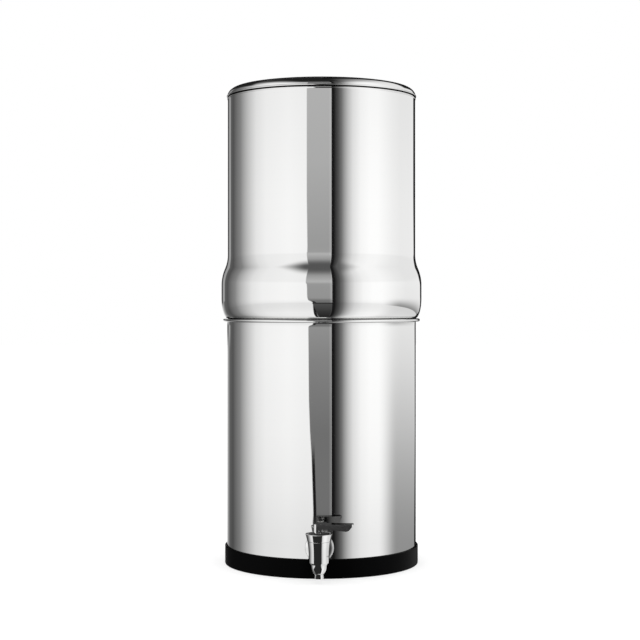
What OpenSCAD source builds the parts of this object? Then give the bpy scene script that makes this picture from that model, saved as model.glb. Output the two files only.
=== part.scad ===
/* [Chambers] */
// Outer diameter of the lower chamber's wall
vessel_d = 229.4; // [200:0.2:280]
// Thickness of the steel sheet of both chambers and the lid
steel_t = 1; // [0.6:0.1:1.4]
// Height of the lower chamber from its foot to the top of its rim
lower_h = 293; // [230:1:360]
// Height of the upper chamber from the underside of its floor to its mouth
upper_h = 291.5; // [240:0.5:360]
// How far the upper chamber's wall stands in from the lower chamber's wall
upper_inset = 0.7; // [0:0.1:4]
// How deep the upper chamber's neck reaches down inside the lower chamber
nest_depth = 24; // [16:1:34]
// Radial clearance of the neck inside the lower chamber
nest_gap = 0.9; // [0.4:0.1:2]
// Radius of the bottom corners of both chambers
corner_r = 8; // [4:0.5:12]
// How far the lower chamber's rolled rim stands out from its wall
rim_out = 4.9; // [3.6:0.1:7]
// Thickness of the rolled rim
rim_t = 3.4; // [2.6:0.1:5]
// How far the raised panel of the lower chamber's bottom stands above its foot
panel_rise = 4; // [2:0.5:8]
// Width of the ring on which the lower chamber stands
foot_w = 15; // [10:1:24]
// How far the upper chamber's mouth bead stands out from its wall
mouth_out = 1.2; // [0.6:0.1:2]
// Height of the mouth bead
mouth_t = 2.6; // [2.2:0.1:4]

/* [Bulge] */
// How far the bulge stands out from the upper chamber's wall
bulge_out = 7.6; // [6:0.2:12]
// Height of the curl from the rim up to the bulge's widest band
curl_h = 19.1; // [14:0.1:26]
// Height of the bulge's straight band
band_h = 21; // [12:1:34]
// Height of the shoulder from the band up to the wall
shoulder_h = 37; // [26:1:50]
// Share of the shoulder's height taken by its outward arc
shoulder_split = 0.54; // [0.3:0.01:0.7]
// Radius of the corner between the neck and the curl
curl_fillet = 1.2; // [0.8:0.1:2]

/* [Base cup] */
// Height of the cup's wall above the table
base_h = 22; // [14:1:24]
// Thickness of the cup's floor
base_floor_t = 3; // [2:0.5:5]
// Thickness of the cup's wall
base_wall_t = 2.3; // [1.6:0.1:4]
// Radial clearance of the lower chamber in the cup
base_gap = 0.2; // [0.1:0.05:0.5]
// Radius of the cup's top and bottom edges
base_edge_r = 1; // [0.5:0.1:1.1]

/* [Lid] */
// How far the lid's edge stands out from the upper chamber's wall
lid_out = 2.2; // [1.6:0.1:5]
// Height of the lid's rolled edge
lid_edge_t = 2.6; // [2.2:0.1:4]
// Height of the lid's shoulder above its edge
lid_shoulder_h = 12.5; // [8:0.5:18]
// Width of the lid's shoulder
lid_shoulder_w = 11; // [8:0.5:18]
// Rise of the lid's top from the shoulder to the dish
lid_crown = 2.5; // [1:0.1:5]
// Diameter of the finger dish in the lid
dish_d = 84; // [70:1:110]
// Depth of the finger dish
dish_depth = 8; // [5:0.5:10]
// Radius of the dish's edge and corner
dish_r = 3; // [2:0.25:3.5]
// Depth of the lid's skirt inside the mouth
skirt_h = 7; // [4:0.5:12]
// Radial clearance of the skirt in the mouth
skirt_gap = 0.6; // [0.3:0.1:1.5]
// Diameter of the knob
knob_d = 36; // [28:1:46]
// Height of the knob
knob_h = 12.5; // [10:0.5:14]
// Diameter of the knob's screw
screw_d = 4; // [3:0.5:6]

/* [Filters] */
// Distance between the two filter elements' axes
filter_pitch = 104; // [90:1:130]
// Diameter of a filter element
filter_d = 65; // [50:1:76]
// Height of a filter element
filter_h = 225; // [180:1:235]
// Diameter of the bore inside a filter element
filter_bore_d = 28; // [16:1:36]
// Diameter of the threaded outlet stem under a filter element
stem_d = 10; // [8:0.5:13]
// Diameter of the water way in the outlet stem
stem_bore_d = 5; // [3:0.5:6]
// How far the outlet stem reaches below the chamber's floor
stem_drop = 28; // [22:1:34]
// Height of the plastic foot under a filter element
foot_h = 14; // [12:1:20]
// Thickness of the sealing washers on the chamber's floor
seal_t = 3; // [2:0.5:4]
// Diameter of the sealing washers on the chamber's floor
seal_d = 26; // [22:1:30]
// Distance between the two plugged spare holes' axes
plug_pitch = 104; // [90:1:130]
// Diameter of a blocking plug's head
plug_head_d = 24; // [20:1:30]
// Thickness of a blocking plug's head
plug_head_t = 4; // [3:0.5:6]
// Height of a wing nut
wing_nut_h = 10; // [8:0.5:14]
// Span of a wing nut's two wings
wing_span = 34; // [28:1:40]
// Thickness of a wing
wing_t = 3; // [2:0.25:4]

/* [Tap body] */
// Height of the tap's hole above the table
tap_z = 36; // [34:0.5:60]
// Distance of the tap's upright axis from the lower chamber's wall
tap_reach = 29.8; // [28:0.2:40]
// Diameter of the threaded shank
shank_d = 15.8; // [12:0.2:18]
// Diameter of the water way in the shank
shank_bore_d = 9; // [6:0.5:9]
// Length of the shank inside the chamber, from the wall
shank_inside = 14; // [13:0.5:20]
// Diameter of the flange
flange_d = 33; // [28:0.5:36]
// Thickness of the flange at its edge
flange_t = 1.6; // [1:0.1:3]
// Thickness of the flange's dome
flange_dome = 1.6; // [0.5:0.1:3]
// Diameter of the barrel
barrel_d = 23.4; // [21:0.2:26]
// Diameter of the bonnet's rim, the widest part of the tap
cup_d = 30.8; // [28:0.2:34]
// Diameter of the nozzle where it meets the barrel
nozzle_d = 18.6; // [16:0.2:20]
// Outer diameter of the spout
spout_d = 10.4; // [9.6:0.2:12]
// Diameter of the water way in the spout
spout_bore_d = 7.2; // [5:0.2:8]
// How far the spout's end lies below the tap's hole
spout_drop = 30.5; // [28:0.5:34]
// Length of the spout's straight end
spout_len = 5.1; // [4:0.1:7]
// How far the nozzle's top lies below the tap's hole
nozzle_drop = 14.5; // [13:0.5:16]
// Height of the barrel's straight part above the nozzle
barrel_straight = 7.5; // [4:0.5:12]
// How far the seam between body and bonnet lies above the tap's hole
seam_rise = 11.5; // [10:0.5:14]
// How far the bonnet's rim lies above the tap's hole
bonnet_rise = 20.2; // [18:0.2:24]

/* [Tap seals and nut] */
// Thickness of the outer seal at its thinnest
outer_seal_t = 3; // [2.6:0.1:4]
// Thickness of the inner seal at its thinnest
inner_seal_t = 2.4; // [2:0.1:4]
// Diameter of both tap seals
tap_seal_d = 25; // [21:0.5:26]
// Width across the flats of the lock nut
lock_nut_af = 24; // [20:0.5:26]
// Thickness of the lock nut
lock_nut_t = 6; // [4:0.5:8]

/* [Valve] */
// Diameter of the valve chamber inside the barrel
valve_bore_d = 16.4; // [15:0.2:18]
// Diameter of the valve stem
rod_d = 5; // [4:0.2:6]
// Running clearance round the valve stem and the lever's pin
run_gap = 0.05; // [0.02:0.01:0.08]
// Diameter of the rubber seat cup
seat_cup_d = 13; // [11:0.2:14]
// Height of the rubber seat cup
seat_cup_h = 4; // [3:0.2:5]
// Gap between the seat cup and the seat's lip
seat_gap = 0.2; // [0.1:0.05:0.4]
// Height of the seat's lip
lip_h = 0.8; // [0.4:0.1:1.2]
// Mean diameter of the return spring
spring_d = 8.6; // [8:0.1:9]
// Diameter of the spring's wire
wire_d = 1; // [0.7:0.1:1.2]
// Number of the spring's turns
spring_turns = 5; // [4:1:7]
// Length of the spring as fitted
spring_len = 13.5; // [12:0.5:15]
// Thickness of the stem seal's ring
stem_seal_t = 1.6; // [1.2:0.1:2]

/* [Lever] */
// Reach of the lever from the tap's axis to its tip
lever_reach = 38.8; // [32:0.2:42]
// Width of the lever
lever_w = 12.2; // [11:0.2:15]
// Reach of the lever's heel behind the tap's axis
heel = 6.1; // [5.8:0.1:7]
// Height of the lever's top above its pin
lever_top = 7.55; // [7.2:0.05:9]
// How far the stem rises when the lever stands upright
valve_lift = 3; // [2:0.1:3.4]
// Diameter of the lever's pin
pin_d = 2.4; // [2:0.1:2.8]
// Width of the slot between the lever's cheeks
slot_w = 6.4; // [5.6:0.1:7]
// Clearance of the lever's cheeks above the thrust washer
cam_gap = 0.25; // [0.2:0.01:0.4]
// Thickness of the thrust washer
thrust_t = 1; // [0.8:0.1:1.4]
// Height of the lever's skirt at its deepest
skirt_depth = 8; // [7:0.1:9]
// Thickness of the lever's plate and skirt
lever_wall = 1.6; // [1.2:0.1:2]

/* [Hidden] */
$fn = 96;

steel = [0.86, 0.87, 0.88];
rubber = [0.06, 0.06, 0.065];
nylon = [0.9, 0.89, 0.85];

// Clearance between pieces of different bodies that rest on each other
rest_gap = 0.3;
// Clearance between a seal and the curved wall that it presses on
wall_gap = 0.05;
// Radial clearance of a screw, stem or nut in a plain hole or on a thread
thread_gap = 0.1;
hole_gap = 0.3;
// Depth by which a cutting shape runs past the face that it cuts
cut = 1;
// Sides with which the chamber's wall is drawn where a seal is cut to it
wall_fn = 360;

// Chambers, from the table up
lower_r = vessel_d / 2;
lower_inner_r = lower_r - steel_t;
upper_r = lower_r - upper_inset;
upper_inner_r = upper_r - steel_t;
bulge_r = upper_r + bulge_out;
neck_r = lower_inner_r - nest_gap;
foot_z = base_floor_t;
rim_z = foot_z + lower_h;
floor_z = rim_z - nest_depth;
floor_top_z = floor_z + steel_t;
curl_z = rim_z + rest_gap;
band_z = curl_z + curl_h;
shoulder_z = band_z + band_h;
wall_z = shoulder_z + shoulder_h;
mouth_z = floor_z + upper_h;

// Lid, from its edge up
lid_r = upper_r + lid_out;
edge_z = mouth_z + rest_gap;
dome_r = lid_r - lid_edge_t / 2 + steel_t / 2;
crown_end = 84;
dish_z = edge_z + lid_shoulder_h + lid_crown - dish_depth;
knob_bore_depth = 8;
knob_washer_t = 1.2;
screw_head_h = 2.4;

// Filters, from the chamber's floor up and down
filter_x = filter_pitch / 2;
plug_y = plug_pitch / 2;
foot_bottom_z = floor_top_z + seal_t;
foot_cup_h = 7;
element_z = foot_bottom_z + foot_h - foot_cup_h;
foot_wall = 2;
element_gap = 0.2;
filter_hole_d = stem_d + 2 * hole_gap;
wing_hub_d = stem_d + 8;

// Tap, on its upright axis and on its shank's axis
tap_y = -lower_r - tap_reach;
flange_y = -lower_r - outer_seal_t;
nut_y = -lower_inner_r + inner_seal_t;
shank_end_y = -lower_inner_r + shank_inside;
tap_hole_d = shank_d + 2 * hole_gap;
seal_hole_d = shank_d + 2 * thread_gap;
spout_z = tap_z - spout_drop;
nozzle_z = spout_z + spout_len;
nozzle_top_z = tap_z - nozzle_drop;
chamfer_h = 2.5;
barrel_z = nozzle_top_z + chamfer_h;
flare_z = barrel_z + barrel_straight;
seam_z = tap_z + seam_rise;
seam_gap = 0.1;
bonnet_z = tap_z + bonnet_rise;
flare_r = ((bonnet_z - flare_z) ^ 2 + ((cup_d - barrel_d) / 2) ^ 2) / (cup_d - barrel_d);

// Valve, from the seat up to the lever's pin
valve_floor_z = tap_z - shank_bore_d / 2 - 6;
lip_z = valve_floor_z + lip_h;
seat_z = lip_z + seat_gap;
collar_z = seat_z + seat_cup_h;
collar_t = 1.4;
spring_z = collar_z + collar_t;
spring_top_z = spring_z + spring_len;
plug_bottom_z = tap_z + shank_bore_d / 2 + 1;
recess_z = bonnet_z - thrust_t;
recess_d = cup_d - 2.2;
thrust_d = recess_d - 5;
seal_groove_z = spring_top_z + 1.8;
pin_z = bonnet_z + cam_gap + heel - valve_lift;

// Lever: the cam is a round disc set off the pin by half the lift each way
cam_off = valve_lift / 2;
cam_r = heel - cam_off;
bore_wall = 1.2;
arch_x = pin_d / 2 + bore_wall;
foot_x = cup_d / 2 - 2.6;
foot_x1 = cup_d / 2;
arch_z = 1.8;
slot_top = 5.3;
tang_half = 4.2;
tang_up = 2.7;
tang_down = 2.5;
rod_top_z = pin_z - tang_down;

function unit(v) = v / norm(v);
function left(v) = [-v[1], v[0]];
function reversed(p) = [for (i = [len(p) - 1:-1:0]) p[i]];

// Points on an ellipse about c with half axes a and b, from angle t0 to t1 in n steps
function oval(c, a, b, t0, t1, n) =
    [for (i = [0:n]) let (t = t0 + (t1 - t0) * i / n) c + [a * cos(t), b * sin(t)]];

function arc(c, r, t0, t1, n) = oval(c, r, r, t0, t1, n);

// The same outline moved to its left by d, mitred at its corners
function shifted(p, d) = let (last = len(p) - 1) [
    for (i = [0:last])
        let (
            a = max(i, 1),
            b = min(i, last - 1),
            n = left(unit(p[a] - p[a - 1])) + left(unit(p[b + 1] - p[b]))
        )
        p[i] + n * (2 * d / (n * n))
];

// A sheet of even thickness t, turned about the upright axis, to the left of its outline
module turned_sheet(outline, t) {
    rotate_extrude() polygon(concat(outline, reversed(shifted(outline, t))));
}

// A ring with a flat section and round edges, from r0 to r1, z0 to z0 + h
module turned_bead(r0, r1, z0, h) {
    rotate_extrude() {
        translate([r0, z0]) square([r1 - r0 - h / 2, h]);
        translate([r1 - h / 2, z0 + h / 2]) circle(d = h);
    }
}

module tube(d_out, d_in, h) {
    difference() {
        cylinder(d = d_out, h = h);
        translate([0, 0, -cut]) cylinder(d = d_in, h = h + 2 * cut);
    }
}

// Children drawn along +Z are laid along +Y from the tap's shank axis at y
module on_shank(y) {
    translate([0, y, tap_z]) rotate([-90, 0, 0]) children();
}

module on_tap() {
    translate([0, tap_y, 0]) children();
}

// ---- Base and lower chamber ----

base_r = lower_r + base_gap + base_wall_t;

module base_cup() {
    color(rubber) rotate_extrude() polygon(concat(
        [[0, 0]],
        arc([base_r - base_edge_r, base_edge_r], base_edge_r, -90, 0, 6),
        arc([base_r - base_edge_r, base_h - base_edge_r], base_edge_r, 0, 90, 6),
        [[base_r - base_wall_t, base_h], [base_r - base_wall_t, base_floor_t], [0, base_floor_t]]
    ));
}

lower_outline = concat(
    [
        [0, foot_z + panel_rise],
        [lower_r - corner_r - foot_w - panel_rise, foot_z + panel_rise],
        [lower_r - corner_r - foot_w, foot_z]
    ],
    arc([lower_r - corner_r, foot_z + corner_r], corner_r, -90, 0, 8),
    [[lower_r, rim_z - rim_t / 2]]
);

module lower_chamber() {
    color(steel) difference() {
        union() {
            turned_sheet(lower_outline, steel_t);
            turned_bead(lower_inner_r, lower_r + rim_out, rim_z - rim_t, rim_t);
        }
        on_shank(-lower_r - cut) cylinder(d = tap_hole_d, h = steel_t + 4 * cut);
    }
}

// ---- Upper chamber ----

shoulder_turn = 2 * atan(bulge_out / shoulder_h);
shoulder_arcs = shoulder_h / sin(shoulder_turn);
shoulder_low_r = shoulder_arcs * shoulder_split;
shoulder_high_r = shoulder_arcs - shoulder_low_r;

upper_outline = concat(
    [[0, floor_z]],
    arc([neck_r - corner_r, floor_z + corner_r], corner_r, -90, 0, 8),
    arc([neck_r + curl_fillet, curl_z - curl_fillet], curl_fillet, 180, 90, 4),
    oval([neck_r + curl_fillet, band_z], bulge_r - neck_r - curl_fillet, curl_h, -82, 0, 10),
    arc([bulge_r - shoulder_low_r, shoulder_z], shoulder_low_r, 0, shoulder_turn, 8),
    reversed(arc([upper_r + shoulder_high_r, wall_z], shoulder_high_r,
                 180, 180 + shoulder_turn * 7 / 8, 7)),
    [[upper_r, mouth_z - mouth_t / 2]]
);

// Places of the two filter holes and the two spare holes
filter_places = [[-filter_x, 0], [filter_x, 0]];
plug_places = [[0, -plug_y], [0, plug_y]];

module upper_chamber() {
    color(steel) difference() {
        union() {
            turned_sheet(upper_outline, steel_t);
            turned_bead(upper_inner_r, upper_r + mouth_out, mouth_z - mouth_t, mouth_t);
        }
        for (p = concat(filter_places, plug_places))
            translate([p[0], p[1], floor_z - cut]) cylinder(d = filter_hole_d, h = steel_t + 2 * cut);
    }
}

// ---- Lid and knob ----

lid_low = [dome_r, edge_z + lid_edge_t / 2];
lid_top_z = edge_z + lid_shoulder_h;
dish_edge_r = dish_d / 2 + dish_r;

// Height of the lid's top at radius r, falling from the dish to the shoulder
function crown_z(r) = lid_top_z + lid_crown
    * (1 - ((r - dish_edge_r) / (dome_r - lid_shoulder_w - dish_edge_r)) ^ 2);

lid_outline = concat(
    oval([dome_r - lid_shoulder_w, lid_low[1]], lid_shoulder_w,
         lid_top_z - lid_low[1], 0, crown_end, 12),
    [for (i = [1:8]) let (r = dome_r - lid_shoulder_w + (dish_edge_r - dome_r + lid_shoulder_w) * i / 8)
        [r, crown_z(r)]],
    arc([dish_edge_r, crown_z(dish_edge_r) - dish_r], dish_r, 112.5, 180, 3),
    arc([dish_d / 2 - dish_r, dish_z + dish_r], dish_r, 0, -90, 4),
    [[0, dish_z]]
);

module lid() {
    skirt_r = upper_inner_r - skirt_gap;
    color(steel) difference() {
        union() {
            turned_sheet(lid_outline, steel_t);
            turned_bead(dome_r - steel_t, lid_r, edge_z, lid_edge_t);
            translate([0, 0, mouth_z - skirt_h])
                tube(2 * skirt_r, 2 * (skirt_r - steel_t), skirt_h + rest_gap + lid_shoulder_h / 2);
            // web that joins the rolled edge to the skirt
            translate([0, 0, edge_z])
                tube(2 * dome_r, 2 * (skirt_r - steel_t), steel_t);
        }
        translate([0, 0, dish_z - steel_t - cut])
            cylinder(d = screw_d + 2 * hole_gap, h = steel_t + 2 * cut);
    }
}

module lid_knob() {
    foot_r = knob_d * 0.3;
    waist_r = knob_d * 0.25;
    lip = 2.2;
    color(rubber) translate([0, 0, dish_z]) difference() {
        rotate_extrude() polygon(concat(
            [[0, 0], [foot_r, 0], [foot_r, 1.5]],
            arc([waist_r + 3, 4.5], 3, 225, 135, 6),
            arc([knob_d / 2 - lip, knob_h - lip - 0.6], lip, -60, 60, 8),
            oval([0, knob_h - 1.4], knob_d / 2 - lip, 1.4, 40, 90, 6)
        ));
        translate([0, 0, -cut]) cylinder(d = screw_d + 2 * thread_gap, h = knob_bore_depth + cut);
    }
}

module knob_washer() {
    color(rubber) translate([0, 0, dish_z - steel_t - knob_washer_t])
        tube(4 * screw_d, screw_d + 2 * hole_gap, knob_washer_t);
}

module knob_screw() {
    under_z = dish_z - steel_t - knob_washer_t;
    color(steel) difference() {
        union() {
            translate([0, 0, under_z - 0.01])
                cylinder(d = screw_d, h = steel_t + knob_washer_t + knob_bore_depth - 0.5);
            translate([0, 0, under_z - screw_head_h]) cylinder(d = 2 * screw_d, h = screw_head_h);
        }
        for (turn = [0, 90])
            translate([0, 0, under_z - screw_head_h]) rotate(turn)
                cube([screw_d * 1.1, screw_d / 4, screw_head_h], center = true);
    }
}

// ---- Filters and blocking plugs ----

module filter_element(x) {
    r = filter_d / 2;
    edge = 9;
    color([0.12, 0.12, 0.125]) translate([x, 0, element_z]) difference() {
        rotate_extrude() polygon(concat(
            [[0, 0], [r, 0]],
            oval([r - edge, filter_h - edge], edge, edge, 0, 60, 5),
            [[0, filter_h]]
        ));
        translate([0, 0, -cut]) cylinder(d = filter_bore_d, h = filter_h - 18 + cut);
    }
}

module filter_foot(x) {
    r = filter_d / 2 + element_gap + foot_wall;
    boss = foot_h - foot_cup_h - 3;
    color([0.16, 0.16, 0.17]) translate([x, 0, foot_bottom_z]) difference() {
        union() {
            rotate_extrude() polygon([
                [0, 0], [seal_d / 2, 0], [seal_d / 2, boss], [r - 3, boss],
                [r, boss + 3], [r, foot_h], [r - foot_wall, foot_h],
                [r - foot_wall, foot_h - foot_cup_h], [0, foot_h - foot_cup_h]
            ]);
            translate([0, 0, -seal_t - steel_t - stem_drop])
                cylinder(d = stem_d, h = seal_t + steel_t + stem_drop + cut);
            // spigot that centres the element on its bore
            translate([0, 0, foot_h - foot_cup_h - cut])
                cylinder(d = filter_bore_d - 2 * element_gap, h = 5 + cut);
        }
        translate([0, 0, -seal_t - steel_t - stem_drop - cut])
            cylinder(d = stem_bore_d, h = seal_t + steel_t + stem_drop + foot_h + 2 * cut);
    }
}

module filter_seal(x) {
    color([0.75, 0.3, 0.22]) translate([x, 0, floor_top_z])
        tube(seal_d, stem_d + 2 * thread_gap, seal_t);
}

module wing_nut(place) {
    hub_r = wing_hub_d / 2;
    wing = (wing_span - wing_hub_d) / 2 + 2;
    color(nylon) translate([place[0], place[1], floor_z - wing_nut_h]) difference() {
        union() {
            cylinder(r = hub_r, h = wing_nut_h);
            for (side = [0, 180]) rotate(side)
                translate([hub_r - 2, wing_t / 2, 0]) rotate([90, 0, 0])
                    linear_extrude(height = wing_t) polygon(concat(
                        [[0, wing_nut_h - 1], [0, 1], [wing - 4, -3]],
                        arc([wing - 3, 0], 3, -90, 90, 6)
                    ));
        }
        translate([0, 0, -5]) cylinder(d = stem_d + 2 * thread_gap, h = wing_nut_h + 10);
    }
}

module blocking_plugs() {
    color([0.16, 0.16, 0.17]) for (p = plug_places)
        translate([p[0], p[1], floor_top_z + seal_t]) {
            rotate_extrude() polygon(concat(
                [[0, 0], [plug_head_d / 2, 0]],
                arc([plug_head_d / 2 - 1, plug_head_t - 1], 1, 0, 90, 4),
                [[0, plug_head_t]]
            ));
            translate([0, 0, -seal_t - steel_t - wing_nut_h - 4])
                cylinder(d = stem_d, h = seal_t + steel_t + wing_nut_h + 4 + cut);
        }
}

module plug_seals() {
    color([0.75, 0.3, 0.22]) for (p = plug_places)
        translate([p[0], p[1], floor_top_z]) tube(plug_head_d, stem_d + 2 * thread_gap, seal_t);
}

module plug_nuts() {
    for (p = plug_places) wing_nut(p);
}

// ---- Tap ----

// Radius of the tap's concave flare at height z
function flare_at(z) = barrel_d / 2 + flare_r - sqrt(flare_r ^ 2 - (z - flare_z) ^ 2);

// The nozzle is part of an ellipse that has the spout's radius at the spout's end
nozzle_deep = (nozzle_top_z - nozzle_z) / sqrt(1 - (spout_d / nozzle_d) ^ 2);
nozzle_turn = acos(spout_d / nozzle_d);

tap_outline = concat(
    [[0, spout_z], [spout_d / 2, spout_z]],
    reversed(oval([0, nozzle_top_z], nozzle_d / 2, nozzle_deep, 0, -nozzle_turn, 10)),
    [[barrel_d / 2 - chamfer_h + 0.6, nozzle_top_z], [barrel_d / 2, barrel_z]],
    [for (i = [0:7]) let (z = flare_z + (seam_z - seam_gap - flare_z) * i / 7) [flare_at(z), z]],
    [[0, seam_z - seam_gap]]
);

flange_outline = [
    [0, 0], [flange_d / 2 - 0.5, 0], [flange_d / 2, 0.5], [flange_d / 2, flange_t],
    [shank_d / 2 + 3, flange_t + flange_dome], [0, flange_t + flange_dome]
];

module tap_body() {
    color(steel) difference() {
        union() {
            on_tap() rotate_extrude() polygon(tap_outline);
            // threaded shank through the wall, with the neck to the barrel
            on_shank(flange_y) cylinder(d = shank_d, h = shank_end_y - flange_y);
            on_shank(tap_y) cylinder(d = shank_d + 1.2, h = flange_y - tap_y);
            translate([0, flange_y, tap_z]) rotate([90, 0, 0])
                rotate_extrude() polygon(flange_outline);
        }
        on_tap() {
            translate([0, 0, spout_z - cut]) cylinder(d = spout_bore_d, h = lip_z - spout_z + 2 * cut);
            difference() {
                translate([0, 0, valve_floor_z])
                    cylinder(d = valve_bore_d, h = seam_z - valve_floor_z + cut);
                translate([0, 0, valve_floor_z - cut]) cylinder(d = spout_bore_d + 3, h = lip_h + cut);
            }
        }
        on_shank(tap_y) cylinder(d = shank_bore_d, h = shank_end_y - tap_y + cut);
    }
}

module outer_seal() {
    color(rubber) difference() {
        on_shank(flange_y) tube(tap_seal_d, seal_hole_d, outer_seal_t + 2 * cut);
        translate([0, 0, tap_z - tap_seal_d])
            cylinder(r = lower_r + wall_gap, h = 2 * tap_seal_d, $fn = wall_fn);
    }
}

module inner_seal() {
    color(rubber) intersection() {
        on_shank(nut_y - inner_seal_t - 2 * cut)
            tube(tap_seal_d, seal_hole_d, inner_seal_t + 2 * cut);
        translate([0, 0, tap_z - tap_seal_d])
            cylinder(r = lower_inner_r - wall_gap, h = 2 * tap_seal_d, $fn = wall_fn);
    }
}

module lock_nut() {
    color(steel) on_shank(nut_y) difference() {
        cylinder(d = lock_nut_af / cos(30), h = lock_nut_t, $fn = 6);
        translate([0, 0, -cut]) cylinder(d = seal_hole_d, h = lock_nut_t + 2 * cut);
    }
}

module tap_bonnet() {
    edge = 0.6;
    plug_r = valve_bore_d / 2 - thread_gap;
    pocket_r = (spring_d + wire_d) / 2 + 0.5;
    groove_r = rod_d / 2 + stem_seal_t + 0.2;
    color(steel) on_tap() difference() {
        rotate_extrude() polygon(concat(
            [[0, plug_bottom_z], [plug_r, plug_bottom_z], [plug_r, seam_z]],
            [for (i = [0:5]) let (z = seam_z + (bonnet_z - edge - seam_z) * i / 5) [flare_at(z), z]],
            arc([cup_d / 2 - edge, bonnet_z - edge], edge, 0, 90, 4),
            [[recess_d / 2, bonnet_z], [recess_d / 2, recess_z], [0, recess_z]]
        ));
        translate([0, 0, plug_bottom_z - cut]) cylinder(d = rod_d + 2 * run_gap, h = 40);
        translate([0, 0, plug_bottom_z - cut])
            cylinder(r = pocket_r, h = spring_top_z - plug_bottom_z + cut);
        translate([0, 0, seal_groove_z]) cylinder(r = groove_r, h = stem_seal_t + 0.4);
    }
}

module stem_seal() {
    color(rubber) on_tap() translate([0, 0, seal_groove_z + 0.2 + stem_seal_t / 2]) rotate_extrude()
        translate([rod_d / 2 + run_gap + stem_seal_t / 2, 0]) circle(d = stem_seal_t);
}

module seat_cup() {
    color(rubber) on_tap() translate([0, 0, seat_z]) difference() {
        rotate_extrude() polygon(concat(
            [[0, 0]],
            arc([seat_cup_d / 2 - 1, 1], 1, -90, 0, 4),
            [[seat_cup_d / 2, seat_cup_h], [0, seat_cup_h]]
        ));
        translate([0, 0, 1.2]) cylinder(d = rod_d + 2 * run_gap, h = seat_cup_h);
    }
}

module valve_stem() {
    tang_w = slot_w - 0.4;
    color(steel) on_tap() difference() {
        union() {
            translate([0, 0, seat_z + 1.3]) cylinder(d = rod_d, h = pin_z - seat_z - 1.3);
            translate([0, 0, collar_z]) cylinder(d = spring_d + wire_d, h = collar_t);
            translate([-tang_half, -tang_w / 2, rod_top_z])
                cube([2 * tang_half, tang_w, tang_down + tang_up]);
        }
        translate([0, 0, pin_z]) rotate([90, 0, 0])
            cylinder(d = pin_d + 2 * run_gap, h = 2 * lever_w, center = true);
    }
}

// One unbroken wire: rings of wire_sides points along the coil, its ends closed flat
wire_sides = 6;
turn_steps = 16;

function coil_at(a) = let (
        h = (a / 360) / spring_turns * (spring_len - wire_d - 0.4),
        r = spring_d / 2
    ) [r * cos(a), r * sin(a), h + wire_d / 2 + 0.2];

// Least gap between two turns of the coil
echo(spring_gap = (spring_len - wire_d - 0.4) / spring_turns - wire_d);

module return_spring() {
    steps = spring_turns * turn_steps;
    points = [for (i = [0:steps], k = [0:wire_sides - 1]) let (
            a = 360 * i / turn_steps,
            t = 360 * k / wire_sides,
            out = [cos(a), sin(a), 0]
        ) coil_at(a) + wire_d / 2 * (cos(t) * out + [0, 0, sin(t)])];
    sides = [for (i = [0:steps - 1], k = [0:wire_sides - 1]) let (
            a = i * wire_sides + k,
            b = i * wire_sides + (k + 1) % wire_sides
        ) each [[a, b, b + wire_sides], [a, b + wire_sides, a + wire_sides]]];
    first = [for (k = [1:wire_sides - 2]) [0, k + 1, k]];
    last = [for (k = [1:wire_sides - 2]) [0, k, k + 1] + [1, 1, 1] * steps * wire_sides];
    color(steel) on_tap() translate([0, 0, spring_z])
        polyhedron(points = points, faces = [for (f = concat(sides, first, last)) reversed(f)]);
}

// ---- Lever ----

module thrust_washer() {
    color(rubber) on_tap() translate([0, 0, recess_z])
        tube(thrust_d, rod_d + 2 * hole_gap, thrust_t - 0.001);
}

// Side view of the lever about its pin: cam, arch, press-down foot and tapering skirt
skirt_z = lever_top - skirt_depth;
lever_side = concat(
    [[-heel, lever_top], [-heel, cam_off]],
    arc([-cam_off, cam_off], cam_r, 187.5, 270, 11),
    [[arch_x, cam_off - cam_r]],
    arc([arch_x + 2, arch_z - 2], 2, 180, 90, 4),
    arc([foot_x - 2, arch_z - 2], 2, 90, 0, 4),
    [[foot_x, cam_off - cam_r + 0.05], [foot_x1, cam_off - cam_r + 0.05], [foot_x1, skirt_z + 1.5]],
    arc([lever_reach - 7.6, skirt_z + 6.9], 6.9, -90, -5, 7),
    [[lever_reach, skirt_z + 6.9], [lever_reach, lever_top]]
);

// Top view of the lever: a bar with round corners
module lever_plan(heel_r, tip_r) {
    for (side = [-1, 1]) {
        translate([-heel + heel_r, side * (lever_w / 2 - heel_r)]) circle(r = heel_r);
        translate([lever_reach - tip_r, side * (lever_w / 2 - tip_r)]) circle(r = tip_r);
    }
    translate([-heel + heel_r, -lever_w / 2])
        square([lever_reach + heel - heel_r - tip_r, lever_w]);
    translate([-heel, -lever_w / 2 + heel_r]) square([heel_r + cut, lever_w - 2 * heel_r]);
    translate([lever_reach - tip_r - cut, -lever_w / 2 + tip_r])
        square([tip_r + cut, lever_w - 2 * tip_r]);
}

module lever() {
    hollow_w = lever_w - 2 * lever_wall;
    low = -20;
    color(steel) on_tap() translate([0, 0, pin_z]) difference() {
        intersection() {
            rotate([90, 0, 0]) linear_extrude(height = lever_w, center = true) polygon(lever_side);
            translate([0, 0, low]) linear_extrude(height = 40) lever_plan(3, 4);
        }
        translate([-heel - cut, -slot_w / 2, low]) cube([foot_x + heel + cut, slot_w, slot_top - low]);
        translate([foot_x1, -hollow_w / 2, low])
            cube([lever_reach - 2 * lever_wall - foot_x1, hollow_w, lever_top - lever_wall - low]);
        rotate([90, 0, 0]) cylinder(d = pin_d + 2 * run_gap, h = 2 * lever_w, center = true);
    }
}

module lever_pin() {
    color(steel) on_tap() translate([0, 0, pin_z]) rotate([90, 0, 0])
        cylinder(d = pin_d, h = lever_w - 0.4, center = true);
}

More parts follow.
